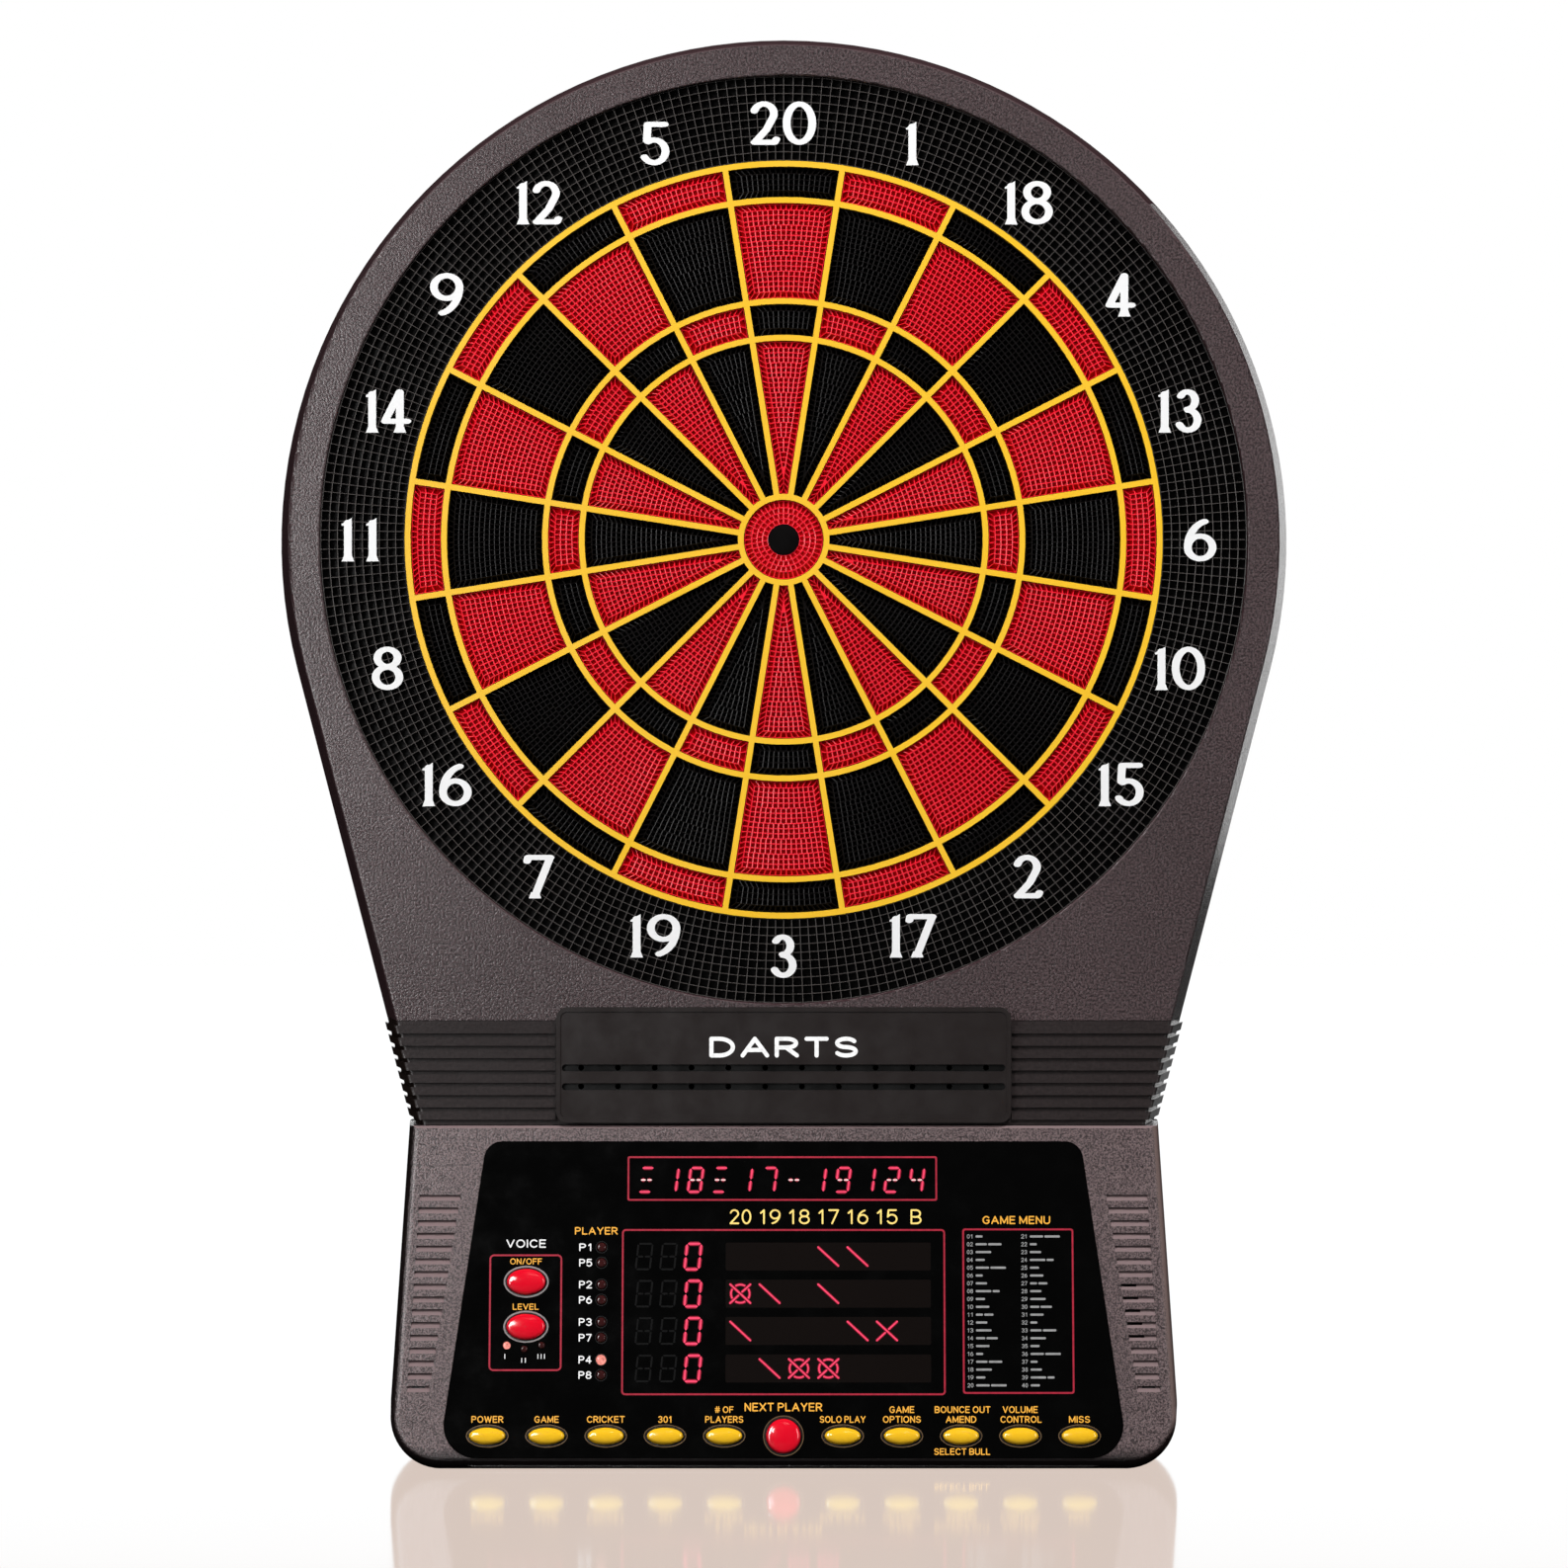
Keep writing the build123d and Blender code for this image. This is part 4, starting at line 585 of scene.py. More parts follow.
# width and strokes of each letter and figure, for a height of one
LETTERS = {
    " ": (0.02, []),
    "#": (0.6, [[(0, 0.33), (0.6, 0.33)], [(0, 0.67), (0.6, 0.67)],
                [(0.1, 0), (0.22, 1)], [(0.38, 0), (0.5, 1)]]),
    "/": (0.3, [[(0, 0), (0.3, 1)]]),
    "A": (0.68, [[(0, 0), (0.34, 1), (0.68, 0)], [(0.12, 0.33), (0.56, 0.33)]]),
    "B": (0.56, [UPRIGHT + BOWL + [(0, 0.5)], [(0, 0)] + LOW_BOWL]),
    "C": (0.62, [OPEN_ROUND]),
    "D": (0.6, [UPRIGHT + arc((0.22, 0.5), (0.38, 0.5), 90, -180, 14) + [(0, 0)]]),
    "E": (0.5, [[(0.5, 0), (0, 0), (0, 1), (0.5, 1)], [(0, 0.52), (0.45, 0.52)]]),
    "F": (0.48, [[(0, 0), (0, 1), (0.48, 1)], [(0, 0.52), (0.42, 0.52)]]),
    "G": (0.66, [OPEN_ROUND + [(0.62, 0.46), (0.4, 0.46)]]),
    "I": (0.0, [UPRIGHT]),
    "K": (0.6, [UPRIGHT, [(0.56, 1), (0, 0.38)], [(0.2, 0.6), (0.6, 0)]]),
    "L": (0.46, [[(0, 1), (0, 0), (0.46, 0)]]),
    "M": (0.72, [UPRIGHT + [(0.36, 0.1), (0.72, 1), (0.72, 0)]]),
    "N": (0.56, [UPRIGHT + [(0.56, 0), (0.56, 1)]]),
    "O": (0.7, [loop_letter((0.35, 0.5), (0.35, 0.5))]),
    "P": (0.54, [UPRIGHT + BOWL + [(0, 0.48)]]),
    "R": (0.56, [UPRIGHT + BOWL + [(0, 0.48)], [(0.26, 0.48), (0.56, 0)]]),
    "S": (0.54, [S_TOP + S_FOOT]),
    "T": (0.56, [[(0, 1), (0.56, 1)], [(0.28, 1), (0.28, 0)]]),
    "U": (0.58, [[(0, 1)] + arc((0.29, 0.29), (0.29, 0.29), 180, 180, 12) + [(0.58, 1)]]),
    "V": (0.64, [[(0, 1), (0.32, 0), (0.64, 1)]]),
    "W": (0.9, [[(0, 1), (0.22, 0), (0.45, 0.95), (0.68, 0), (0.9, 1)]]),
    "X": (0.6, [[(0, 0), (0.6, 1)], [(0, 1), (0.6, 0)]]),
    "Y": (0.6, [[(0, 1), (0.3, 0.45), (0.6, 1)], [(0.3, 0.45), (0.3, 0)]]),
    "0": (0.52, [loop_letter((0.26, 0.5), (0.26, 0.5))]),
    "1": (0.34, [[(0.06, 0.78), (0.24, 1), (0.24, 0)]]),
    "2": (0.52, [arc((0.26, 0.73), (0.25, 0.27), 165, -190, 14) + [(0, 0), (0.52, 0)]]),
    "3": (0.52, [THREE_TOP, THREE_FOOT]),
    "4": (0.56, [[(0.4, 0), (0.4, 1), (0, 0.3), (0.56, 0.3)]]),
    "5": (0.52, [[(0.48, 1), (0.06, 1), (0.02, 0.5)] + arc((0.25, 0.33), (0.27, 0.33), 140, -290, 16)]),
    "6": (0.52, [loop_letter((0.26, 0.32), (0.26, 0.32)), arc((0.5, 0.32), (0.5, 0.68), 180, -75, 10)]),
    "7": (0.5, [[(0, 1), (0.5, 1), (0.16, 0)]]),
    "8": (0.52, [loop_letter((0.26, 0.76), (0.22, 0.24)), loop_letter((0.26, 0.27), (0.26, 0.27))]),
    "9": (0.52, [loop_letter((0.26, 0.68), (0.26, 0.32)), arc((0.02, 0.68), (0.5, 0.68), 0, -80, 10)]),
}


def add_text(shape, text, centre, width, height, layer, weight=LETTER_PEN):
    """A line of plain block lettering fitted to a width and height about its centre."""
    pen = (weight * height, weight * height)
    advance, strokes = 0.0, []
    for letter in text:
        letter_width, lines = LETTERS[letter]
        strokes += [[(advance + x, y) for x, y in line] for line in lines]
        advance += letter_width + LETTER_GAP
    scale = (width - 2 * pen[0]) / max(advance - LETTER_GAP, 0.1)
    left, low, rise = centre[0] - width / 2 + pen[0], centre[1] - height / 2 + pen[1], height - 2 * pen[1]
    placed = [[(left + x * scale, low + y * rise) for x, y in stroke] for stroke in strokes]
    add_flat(shape, *merged([patch for stroke in placed for patch in pen_patches(stroke, pen)]), *layer)


# ---- Numerals
def numeral_strokes(digit):
    """Centre lines of one numeral about its middle, drawn with an upright elliptical pen."""
    top, side = NUMERAL_HEIGHT / 2 - PEN[1], NUMERAL_WIDTHS[digit] / 2 - PEN[0]
    low, stem = -top, STEM_X.get(digit, 0.0)
    strokes = {
        0: [arc((0, 0), (side, top), 90, 360, 40)],
        1: [[(stem, low), (stem, top - 1)]],
        2: [arc((-0.2, top - 4.9), (side - 0.2, 4.9), 165, -190, 24) + [(1.2, -3.2), (-side + 0.4, low)],
            [(-side + 0.2, low), (side, low)], [(side, low), (side + 0.9, low + 1.6)]],
        3: [arc((-0.3, top - 4.5), (side - 0.9, 4.5), 150, -240, 22),
            arc((0, low + 5.2), (side, 5.2), 90, -245, 24)],
        4: [[(stem, low), (stem, top)], [(stem, top), (-side, low + 4.6)],
            [(-side, low + 4.6), (side + 1.4, low + 4.6)]],
        5: [[(-side + 1.4, top), (side - 0.4, top)], [(-side + 1.4, top), (-side + 0.9, 1.4)],
            arc((-0.6, low + 5.9), (side + 0.5, 5.9), 122, -272, 26)],
        6: [arc((0, low + 5.9), (side, 5.9), 90, 360, 36),
            arc((5.2, low + 5.9), (side + 5.2, 13.9), 180, -76, 18)],
        7: [[(-side, top), (side, top)], [(side - 0.2, top), (stem, low)],
            [(-side - 0.4, top), (-side - 0.8, top - 2)]],
        8: [arc((0, top - 4.5), (side - 0.9, 4.5), 90, 360, 32),
            arc((0, low + 5.3), (side, 5.3), 90, 360, 36)],
        9: [arc((0, top - 5.9), (side, 5.9), 90, 360, 36),
            arc((-5.2, top - 5.9), (side + 5.2, 13.9), 0, -76, 18)],
    }
    return strokes[digit]


def pen_side(before, after, pen):
    """Half the width of an upright elliptical pen, square to the way it moves."""
    length = math.dist(before, after)
    normal = ((before[1] - after[1]) / length, (after[0] - before[0]) / length)
    reach = math.hypot(pen[0] * normal[0], pen[1] * normal[1])
    return (pen[0] ** 2 * normal[0] / reach, pen[1] ** 2 * normal[1] / reach)


def pen_patches(stroke, pen):
    """The flat patches the pen covers along a stroke."""
    patches = [ellipse_loop(point, pen, 12) for point in stroke]
    for p, q in zip(stroke, stroke[1:]):
        if math.dist(p, q) < 0.001:
            continue
        s = pen_side(p, q, pen)
        patches.append([(p[0] - s[0], p[1] - s[1]), (q[0] - s[0], q[1] - s[1]),
                        (q[0] + s[0], q[1] + s[1]), (p[0] + s[0], p[1] + s[1])])
    return patches


def numeral_patches(digit):
    """Everything one numeral covers: its strokes, its flared foot and the flag of the one."""
    patches = [patch for stroke in numeral_strokes(digit) for patch in pen_patches(stroke, PEN)]
    half = NUMERAL_HEIGHT / 2
    if digit in STEM_X:
        x = STEM_X[digit]
        patches.append([(x - FOOT_HALF, -half), (x + FOOT_HALF, -half), (x + PEN[0], FOOT_RISE - half),
                        (x - PEN[0], FOOT_RISE - half)])
    if digit == 1:
        x = STEM_X[digit]
        patches.append([(x + PEN[0], half - 4), (x + PEN[0], half),
                        (x - FOOT_HALF, half - FOOT_RISE), (x - FOOT_HALF, half - 4)])
    return patches


def merged(patches):
    """Overlapping flat patches joined into one triangulated area."""
    points, faces = [], []
    for patch in patches:
        faces.append(list(range(len(points), len(points) + len(patch))))
        points += [Vector(p) for p in patch]
    result = delaunay_2d_cdt(points, [], faces, 1, 0.0005)
    inside = [tuple(face) for face, sources in zip(result[2], result[5]) if sources]
    return [(p.x, p.y) for p in result[0]], inside


def numerals(material):
    """The twenty numbers, standing upright on the catch ring."""
    shape = Shape()
    glyphs = [merged(numeral_patches(digit)) for digit in range(10)]
    back, front = RING_FRONT - RING_RIB, front_depth("numerals")
    for i, number in enumerate(NUMBERS):
        centre = polar(NUMERAL_CIRCLE, i * SECTOR)
        digits = [int(letter) for letter in str(number)]
        gap = ONES_GAP if number == 11 else NUMERAL_GAP
        x = -(sum(NUMERAL_WIDTHS[d] for d in digits) + gap * (len(digits) - 1)) / 2
        if number == 11:
            x += ELEVEN_SHIFT
        for digit in digits:
            points, faces = glyphs[digit]
            middle = (min(p[0] for p in points) + max(p[0] for p in points)) / 2
            left = centre[0] + x + NUMERAL_WIDTHS[digit] / 2 - middle
            add_flat(shape, [(left + px, centre[1] + pz) for px, pz in points], faces, back, front)
            x += NUMERAL_WIDTHS[digit] + gap
    build("number_ring", shape, material, "board", ["numerals"])


# ---- Lit displays
def character_bars(half_width, half_height, gap):
    """The bars of a seven-bar character; the middle one is two dashes."""
    w, h, g = half_width, half_height, gap
    return {
        "a": [((-w + g, h), (w - g, h))],
        "b": [((w, g), (w, h - g))],
        "c": [((w, -h + g), (w, -g))],
        "d": [((-w + g, -h), (w - g, -h))],
        "e": [((-w, -h + g), (-w, -g))],
        "f": [((-w, g), (-w, h - g))],
        "g": [((-w + g, 0), (-g, 0)), ((g, 0), (w - g, 0))],
    }


def add_character(shape, letters, centre, size, width, slant, layer):
    """The named bars of one character."""
    lean = math.tan(math.radians(slant))
    bars = character_bars(*size, BAR_GAP)
    for letter in letters:
        for bar in bars[letter]:
            start, end = [(centre[0] + x + y * lean, centre[1] + y) for x, y in bar]
            add_outline(shape, bar_outline(start, end, width), *layer)


def marquee(lit, dash, bloom):
    """The line of twelve lit characters: bars and paler middle dashes over a soft bloom, a painted glow of
    their light.
    """
    bars, dashes, glows = Shape(), Shape(), Shape()
    for i, letters in enumerate(MARQUEE):
        centre = (MARQUEE_U + i * MARQUEE_PITCH, MARQUEE_V)
        dashed = "g" if "g" in letters else ""
        layers = ((bars, letters.replace("g", ""), MARQUEE_BAR, BARS_W),
                  (dashes, dashed, MARQUEE_DASH, BARS_W),
                  (glows, letters, MARQUEE_BLOOM, BLOOM_W))
        for shape, parts, width, layer in layers:
            add_character(shape, parts, centre, MARQUEE_SIZE, width, MARQUEE_SLANT, layer)
    build_on_window("marquee_bars", bars, lit)
    build_on_window("marquee_dashes", dashes, dash)
    build_on_window("marquee_bloom", glows, bloom)


def scores(lit, bloom, unlit):
    """Three score digits a row: the last shows nought, the others are unlit."""
    bars, glows, dark = Shape(), Shape(), Shape()
    for v in ROWS_V:
        for u in SCORES_U[:-1]:
            add_character(dark, "abcdefg", (u, v), SCORE_SIZE, SCORE_BAR, SCORE_SLANT, BLOOM_W)
        add_character(bars, "abcdef", (SCORES_U[-1], v), SCORE_SIZE, SCORE_BAR, SCORE_SLANT, BARS_W)
        add_character(glows, "abcdef", (SCORES_U[-1], v), SCORE_SIZE, SCORE_BLOOM, SCORE_SLANT, BLOOM_W)
    build_on_window("score_bars", bars, lit)
    build_on_window("score_bloom", glows, bloom)
    build_on_window("score_unlit", dark, unlit)


def mark_strokes(mark, u, v):
    """One scoring mark as strokes: a slash, a cross, or a cross in a circle."""
    (w, h), gap = MARK_SIZE, MARK_GAP
    strokes = [[(u - w, v + h), (u + w, v - h)]]
    if mark in "XO":
        strokes += [[(u - w, v - h), (u - gap, v - gap)], [(u + gap, v + gap), (u + w, v + h)]]
    if mark == "O":
        strokes += [arc((u, v), MARK_CIRCLE, start, 64, 8) for start in (-32, 58, 148, 238)]
    return strokes


def marks(lit, bloom, window):
    """The scoring marks of every row, over the faint window of each row."""
    bars, glows, windows = Shape(), Shape(), Shape()
    for v, row in zip(ROWS_V, MARK_ROWS):
        span = (MARK_U - MARK_PITCH / 2, MARK_U + (len(row) - 0.5) * MARK_PITCH)
        height = (v - MARK_WINDOW_HALF, v + MARK_WINDOW_HALF)
        add_outline(windows, rounded_loop(span, height, 0.8), *WINDOW_W)
        lines = [line for i, mark in enumerate(row) if mark != "."
                 for line in mark_strokes(mark, MARK_U + i * MARK_PITCH, v)]
        for line in lines:
            taper = 0.3 if len(line) == 2 else 0.01
            for start, end in zip(line, line[1:]):
                add_outline(bars, bar_outline(start, end, MARK_BAR, taper), *BARS_W)
                add_outline(glows, bar_outline(start, end, MARK_BLOOM, taper), *BLOOM_W)
    build_on_window("mark_bars", bars, lit)
    build_on_window("mark_bloom", glows, bloom)
    build_on_window("mark_windows", windows, window)


# ---- Printing on the window
def frames(material):
    """The thin frames round the displays, the voice keys and the menu."""
    shape = Shape()
    for (u0, u1), (v0, v1), radius in FRAMES:
        inner = rounded_loop((u0 + LINE, u1 - LINE), (v0 + LINE, v1 - LINE), radius * 0.6)
        add_ring(shape, rounded_loop((u0, u1), (v0, v1), radius), inner, *PRINT_W)
    build_on_window("window_frames", shape, material)


def labels(name, rows, material, weight=LETTER_PEN):
    shape = Shape()
    for text, u, v, width, height in rows:
        add_text(shape, text, (u, v), width, height, PRINT_W, weight)
    build_on_window(name, shape, material)


def column_heads(material):
    rows = []
    for i, text in enumerate(COLUMN_HEADS):
        width = COLUMN_HEAD_SIZE[0] * (1 if len(text) == 2 else 0.5)
        rows.append((text, MARK_U + i * MARK_PITCH, COLUMN_HEAD_V, width, COLUMN_HEAD_SIZE[1]))
    labels("column_heads", rows, material, LIGHT_PEN)


def menu(material):
    """Forty numbered lines; plain bars stand for the names of the games."""
    shape = Shape()
    for line in range(2 * MENU_ROWS):
        column, row = divmod(line, MENU_ROWS)
        u, v = MENU_U[column], MENU_TOP_V - MENU_PITCH * row
        add_text(shape, f"{line + 1:02d}", (u, v), *MENU_NUMBER, PRINT_W)
        start = u + MENU_NUMBER[0] / 2 + MENU_GAP
        for word in range(1 + (row + column) % 3 % 2):
            end = start + MENU_WORD + (row * 7 + column * 3 + word) % 5 * MENU_WORD_STEP
            add_outline(shape, rounded_loop((start, end), (v - MENU_BAR, v + MENU_BAR), 0.4, 2), *PRINT_W)
            start = end + MENU_SPACE
    build_on_window("menu_lines", shape, material)


def rack_word(material):
    text, x, z, width, height = RACK_WORD
    shape = Shape()
    plate = front_depth("dart_rack") - RACK_STEP
    add_text(shape, text, (x, z), width, height, [plate + step for step in RACK_PRINT], HEAVY_PEN)
    obj = build("rack_word", shape, material, "board")


def on_face(node):
    """Middle and half size of a node on the console face, as ((u, v), (half u, half v)) in mm."""
    offsets = [p.co - FACE_ORIGIN for p in NODES[node].data.vertices]
    us, vs = [o.x / MM for o in offsets], [o.dot(FACE_UP) / MM for o in offsets]
    middle = ((min(us) + max(us)) / 2, (min(vs) + max(vs)) / 2)
    return middle, ((max(us) - min(us)) / 2, (max(vs) - min(vs)) / 2)


def key_rims(name, nodes, gap, material):
    """The rim round each key's hole in the window, painted bright all round as a reflection."""
    shape = Shape()
    for node in nodes:
        centre, half = on_face(node)
        inner, outer = [ellipse_loop(centre, [h - KEY_LIP + g for h in half], 64) for g in gap]
        add_ring(shape, outer, inner, *PRINT_W)
    build_on_window(name, shape, material)


def lamp_rims(material):
    shape = Shape()
    for centre in [(LAMP_U, v) for _, v in LAMP_ROWS]:
        inner, outer = [ellipse_loop(centre, (radius, radius), 32) for radius in LAMP_RIM]
        add_ring(shape, outer, inner, *BARS_W)
    build_on_window("lamp_rims", shape, material)


# ---- Materials
def node_tree(name):
    material = bpy.data.materials.new(name)
    material.use_nodes = True
    return material, material.node_tree, material.node_tree.nodes["Principled BSDF"]


def put(tree, node, **values):
    """Sets a node's inputs: a link for another node's output, else a plain value; _ stands for a space."""
    for name, value in values.items():
        socket = node.inputs[name.replace("_", " ")]
        if isinstance(value, bpy.types.NodeSocket):
            tree.links.new(value, socket)
        elif socket.type == "RGBA":
            socket.default_value = (*value, 1)
        else:
            socket.default_value = value


def add_node(tree, kind, **values):
    node = tree.nodes.new("ShaderNode" + kind)
    put(tree, node, **values)
    return node


def own_place(tree):
    """The shaded point in its piece's own metres, which stay with the piece as it moves."""
    return add_node(tree, "TexCoord").outputs["Object"]


def noise(tree, scale, detail=3.0, roughness=0.6):
    vector = own_place(tree)
    texture = add_node(tree, "TexNoise", Scale=scale, Detail=detail, Roughness=roughness, Vector=vector)
    return texture.outputs["Fac"]


def ramp(tree, value, low, high, start=0.0, end=1.0):
    """Maps a value between start and end to a range, clamped."""
    limits = {"From_Min": start, "From_Max": end, "To_Min": low, "To_Max": high}
    return add_node(tree, "MapRange", Value=value, **limits).outputs["Result"]


def mix_colour(tree, factor, dark, light):
    node = tree.nodes.new("ShaderNodeMix")
    node.data_type = "RGBA"
    put(tree, node, Factor=factor, A=dark, B=light)
    return node.outputs["Result"]


def along(tree, direction, source="Position"):
    """How far the shaded point, or another vector of its geometry, lies along a direction."""
    dot = tree.nodes.new("ShaderNodeVectorMath")
    dot.operation = "DOT_PRODUCT"
    dot.inputs[1].default_value = direction
    tree.links.new(add_node(tree, "NewGeometry").outputs[source], dot.inputs[0])
    return dot.outputs["Value"]


def maths(tree, operation, *values):
    """One sum done on outputs or plain numbers."""
    node = tree.nodes.new("ShaderNodeMath")
    node.operation = operation
    for value, socket in zip(values, node.inputs):
        if isinstance(value, float):
            socket.default_value = value
        else:
            tree.links.new(value, socket)
    return node.outputs["Value"]


def product(tree, a, b):
    return maths(tree, "MULTIPLY", a, b)


def add_bump(tree, shader, scale, strength, height_mm, detail=2.0):
    height = noise(tree, scale, detail)
    bumps = add_node(tree, "Bump", Strength=strength, Distance=height_mm * MM, Height=height)
    put(tree, shader, Normal=bumps.outputs["Normal"])


def shade(colour, factor):
    return tuple(min(1.0, c * factor) for c in colour)


def plastic(name, colour, rough=0.5, grain=900.0, bump=0.15, spread=0.12, specular=0.5, bump_mm=0.05):
    """Moulded plastic: grain, a slow drift of colour and uneven gloss."""
    material, tree, shader = node_tree(name)
    drift = noise(tree, 14.0, 4.0)
    tint = mix_colour(tree, drift, shade(colour, 1 - spread), shade(colour, 1 + spread))
    gloss = ramp(tree, noise(tree, 60.0), rough - 0.06, rough + 0.08, 0.3, 0.7)
    put(tree, shader, Base_Color=tint, Roughness=gloss, Specular_IOR_Level=specular)
    add_bump(tree, shader, grain, bump, bump_mm)
    return material


def speckled(tree, dark, light, scale, contrast):
    """Coarse moulded grain: small light grains on a darker ground, with a slow drift under them."""
    grains = ramp(tree, noise(tree, scale, 2.5, 0.7), 0.0, 1.0, 0.5 - contrast, 0.5 + contrast)
    drift = ramp(tree, noise(tree, 9.0, 3.0), 0.9, 1.1, 0.3, 0.7)
    base = mix_colour(tree, grains, dark, light)
    tone = add_node(tree, "VectorMath")
    tone.operation = "SCALE"
    tree.links.new(base, tone.inputs[0])
    put(tree, tone, Scale=drift)
    return tone.outputs["Vector"]


def turned_to(tree, direction, start, end):
    """0 to 1 as a surface turns towards a direction."""
    return ramp(tree, along(tree, direction, "True Normal"), 0.0, 1.0, start, end)


def grained_plastic(name, dark, light, scale, contrast, bump_mm, painted_sides):
    """The casing's speckled plastic; upturned bevels get a painted highlight without grain, and the sides
    given painted shade or painted light are dull.
    """
    material, tree, shader = node_tree(name)
    grain = speckled(tree, dark, light, scale, contrast)
    upward = turned_to(tree, (0, 0, 1), 0.3, 0.45)
    outward = turned_to(tree, (0, -1, 0), 0.3, 0.5)
    # These faces are smooth in fact; their lighter colour is a painted highlight on the faces turned up and
    # out.
    grainless_painted_highlight = product(tree, upward, outward)
    colour = mix_colour(tree, grainless_painted_highlight, grain, shade(light, 1.35))
    shine = ramp(tree, noise(tree, 40.0), 0.4, 0.6)
    # Painted shade, or painted light on the console's right side, laid on whole sides by the way they face;
    # those sides also lose their shine.
    for painted_colour, *side in painted_sides:
        turned_away = turned_to(tree, *side)
        colour = mix_colour(tree, turned_away, colour, painted_colour)
        shine = product(tree, shine, ramp(tree, turned_away, 1.0, 0.0))
    put(tree, shader, Base_Color=colour, Specular_IOR_Level=shine, Roughness=ramp(tree, outward, 0.1, 0.34))
    add_bump(tree, shader, scale, 0.7, bump_mm, 2.5)
    return material


def console_plastic(name, *grain):
    """The console's speckled plastic, with painted shade: black round the window's sunken edge and along
    the foot.
    """
    material = grained_plastic(name, *grain)
    tree = material.node_tree
    surface = FACE_ORIGIN.dot(FACE_OUT)
    # Painted shade: the sunken edge round the window is made black.
    sunken, level = surface - 0.15 * MM, surface - 0.05 * MM
    below = ramp(tree, along(tree, FACE_OUT), 1.0, 0.0, sunken, level)
    recess_painted_shade = product(tree, below, turned_to(tree, FACE_OUT, 0.9, 0.97))
    lay_over(material, recess_painted_shade, (0.004, 0.004, 0.004))
    # Painted shade: the foot below the window darkens to black.
    foot_low, foot_high = LENS_FOOT - 1.0 * MM, LENS_FOOT + 6.0 * MM
    foot = ramp(tree, along(tree, FACE_UP), 1.0, 0.0, foot_low, foot_high)
    lay_over(material, foot, (0.004, 0.003, 0.003))
    return material


def glow(name, colour, strength):
    """A glowing surface with the slight unevenness of a light behind it: the lit displays, and the
    printing, whose glow is painted light.
    """
    material, tree, shader = node_tree(name)
    level = ramp(tree, noise(tree, 400.0), strength * 0.8, strength * 1.2, 0.3, 0.7)
    put(tree, shader, Base_Color=shade(colour, 0.2), Roughness=0.4)
    put(tree, shader, Emission_Color=colour, Emission_Strength=level)
    return material


def lamp(name, direction, place):
    """Dark translucent lamps, one of them lit: the one at this place along the direction."""
    material, tree, shader = node_tree(name)
    tint = mix_colour(tree, noise(tree, 500.0), (0.02, 0.006, 0.006), (0.06, 0.012, 0.012))
    near = maths(tree, "COMPARE", along(tree, direction), place, 3.0 * MM)
    level = product(tree, near, ramp(tree, noise(tree, 700.0), 0.6, 1.3, 0.35, 0.65))
    put(tree, shader, Base_Color=tint, Roughness=0.12)
    put(tree, shader, Emission_Color=(1.0, 0.33, 0.27), Emission_Strength=level)
    return material


def circuit_board(name):
    """Green solder mask with the faint pattern of the tracks under it."""
    material, tree, shader = node_tree(name)
    tracks = add_node(tree, "TexVoronoi", Scale=160.0, Vector=own_place(tree))
    pattern = ramp(tree, tracks.outputs["Distance"], 0.0, 1.0, 0.2, 0.35)
    green = mix_colour(tree, pattern, (0.02, 0.11, 0.04), (0.01, 0.05, 0.02))
    put(tree, shader, Base_Color=green, Roughness=0.35)
    add_bump(tree, shader, 300.0, 0.2, 0.05)
    return material


def metal(name, colour, rough):
    material = plastic(name, colour, rough, 2000.0, 0.1, 0.1)
    material.node_tree.nodes["Principled BSDF"].inputs["Metallic"].default_value = 1.0
    return material


def paint(material, *node_names):
    """Gives CAD nodes a finished material."""
    for name in node_names:
        for slot in NODES[name].material_slots:
            slot.material = material


def behind(material, start, end):
    """0 to 1 between two depths, in mm, of the piece at rest."""
    tree = material.node_tree
    axes = add_node(tree, "SeparateXYZ", Vector=own_place(tree))
    return ramp(tree, axes.outputs["Y"], 0.0, 1.0, -start * MM, -end * MM)


def lay_over(material, amount, colour):
    """Lays a colour over a material's own, by an amount from 0 to 1."""
    tree = material.node_tree
    shader = tree.nodes["Principled BSDF"]
    own = shader.inputs["Base Color"].links[0].from_socket
    put(tree, shader, Base_Color=mix_colour(tree, amount, own, colour))


def grooved_plastic(name, colour, front, depth):
    """Smooth plastic whose grooves, behind this front, are made almost black as painted shade."""
    material = plastic(name, colour, 0.36, 1400.0, 0.2)
    # Painted shade: the grooves get an almost black colour.
    lay_over(material, behind(material, front, front - depth), (0.002, 0.002, 0.002))
    return material


def celled_plastic(name, rib, pit, front, rough, specular):
    """Moulded cells, whose pits get a darker colour than their ribs as painted shade."""
    material = plastic(name, rib, rough, spread=0.08, specular=specular)
    # Painted shade in the pits: the pit colour is laid over the rib colour with depth.
    lay_over(material, behind(material, front - 0.4, front - 1.2), pit)
    return material


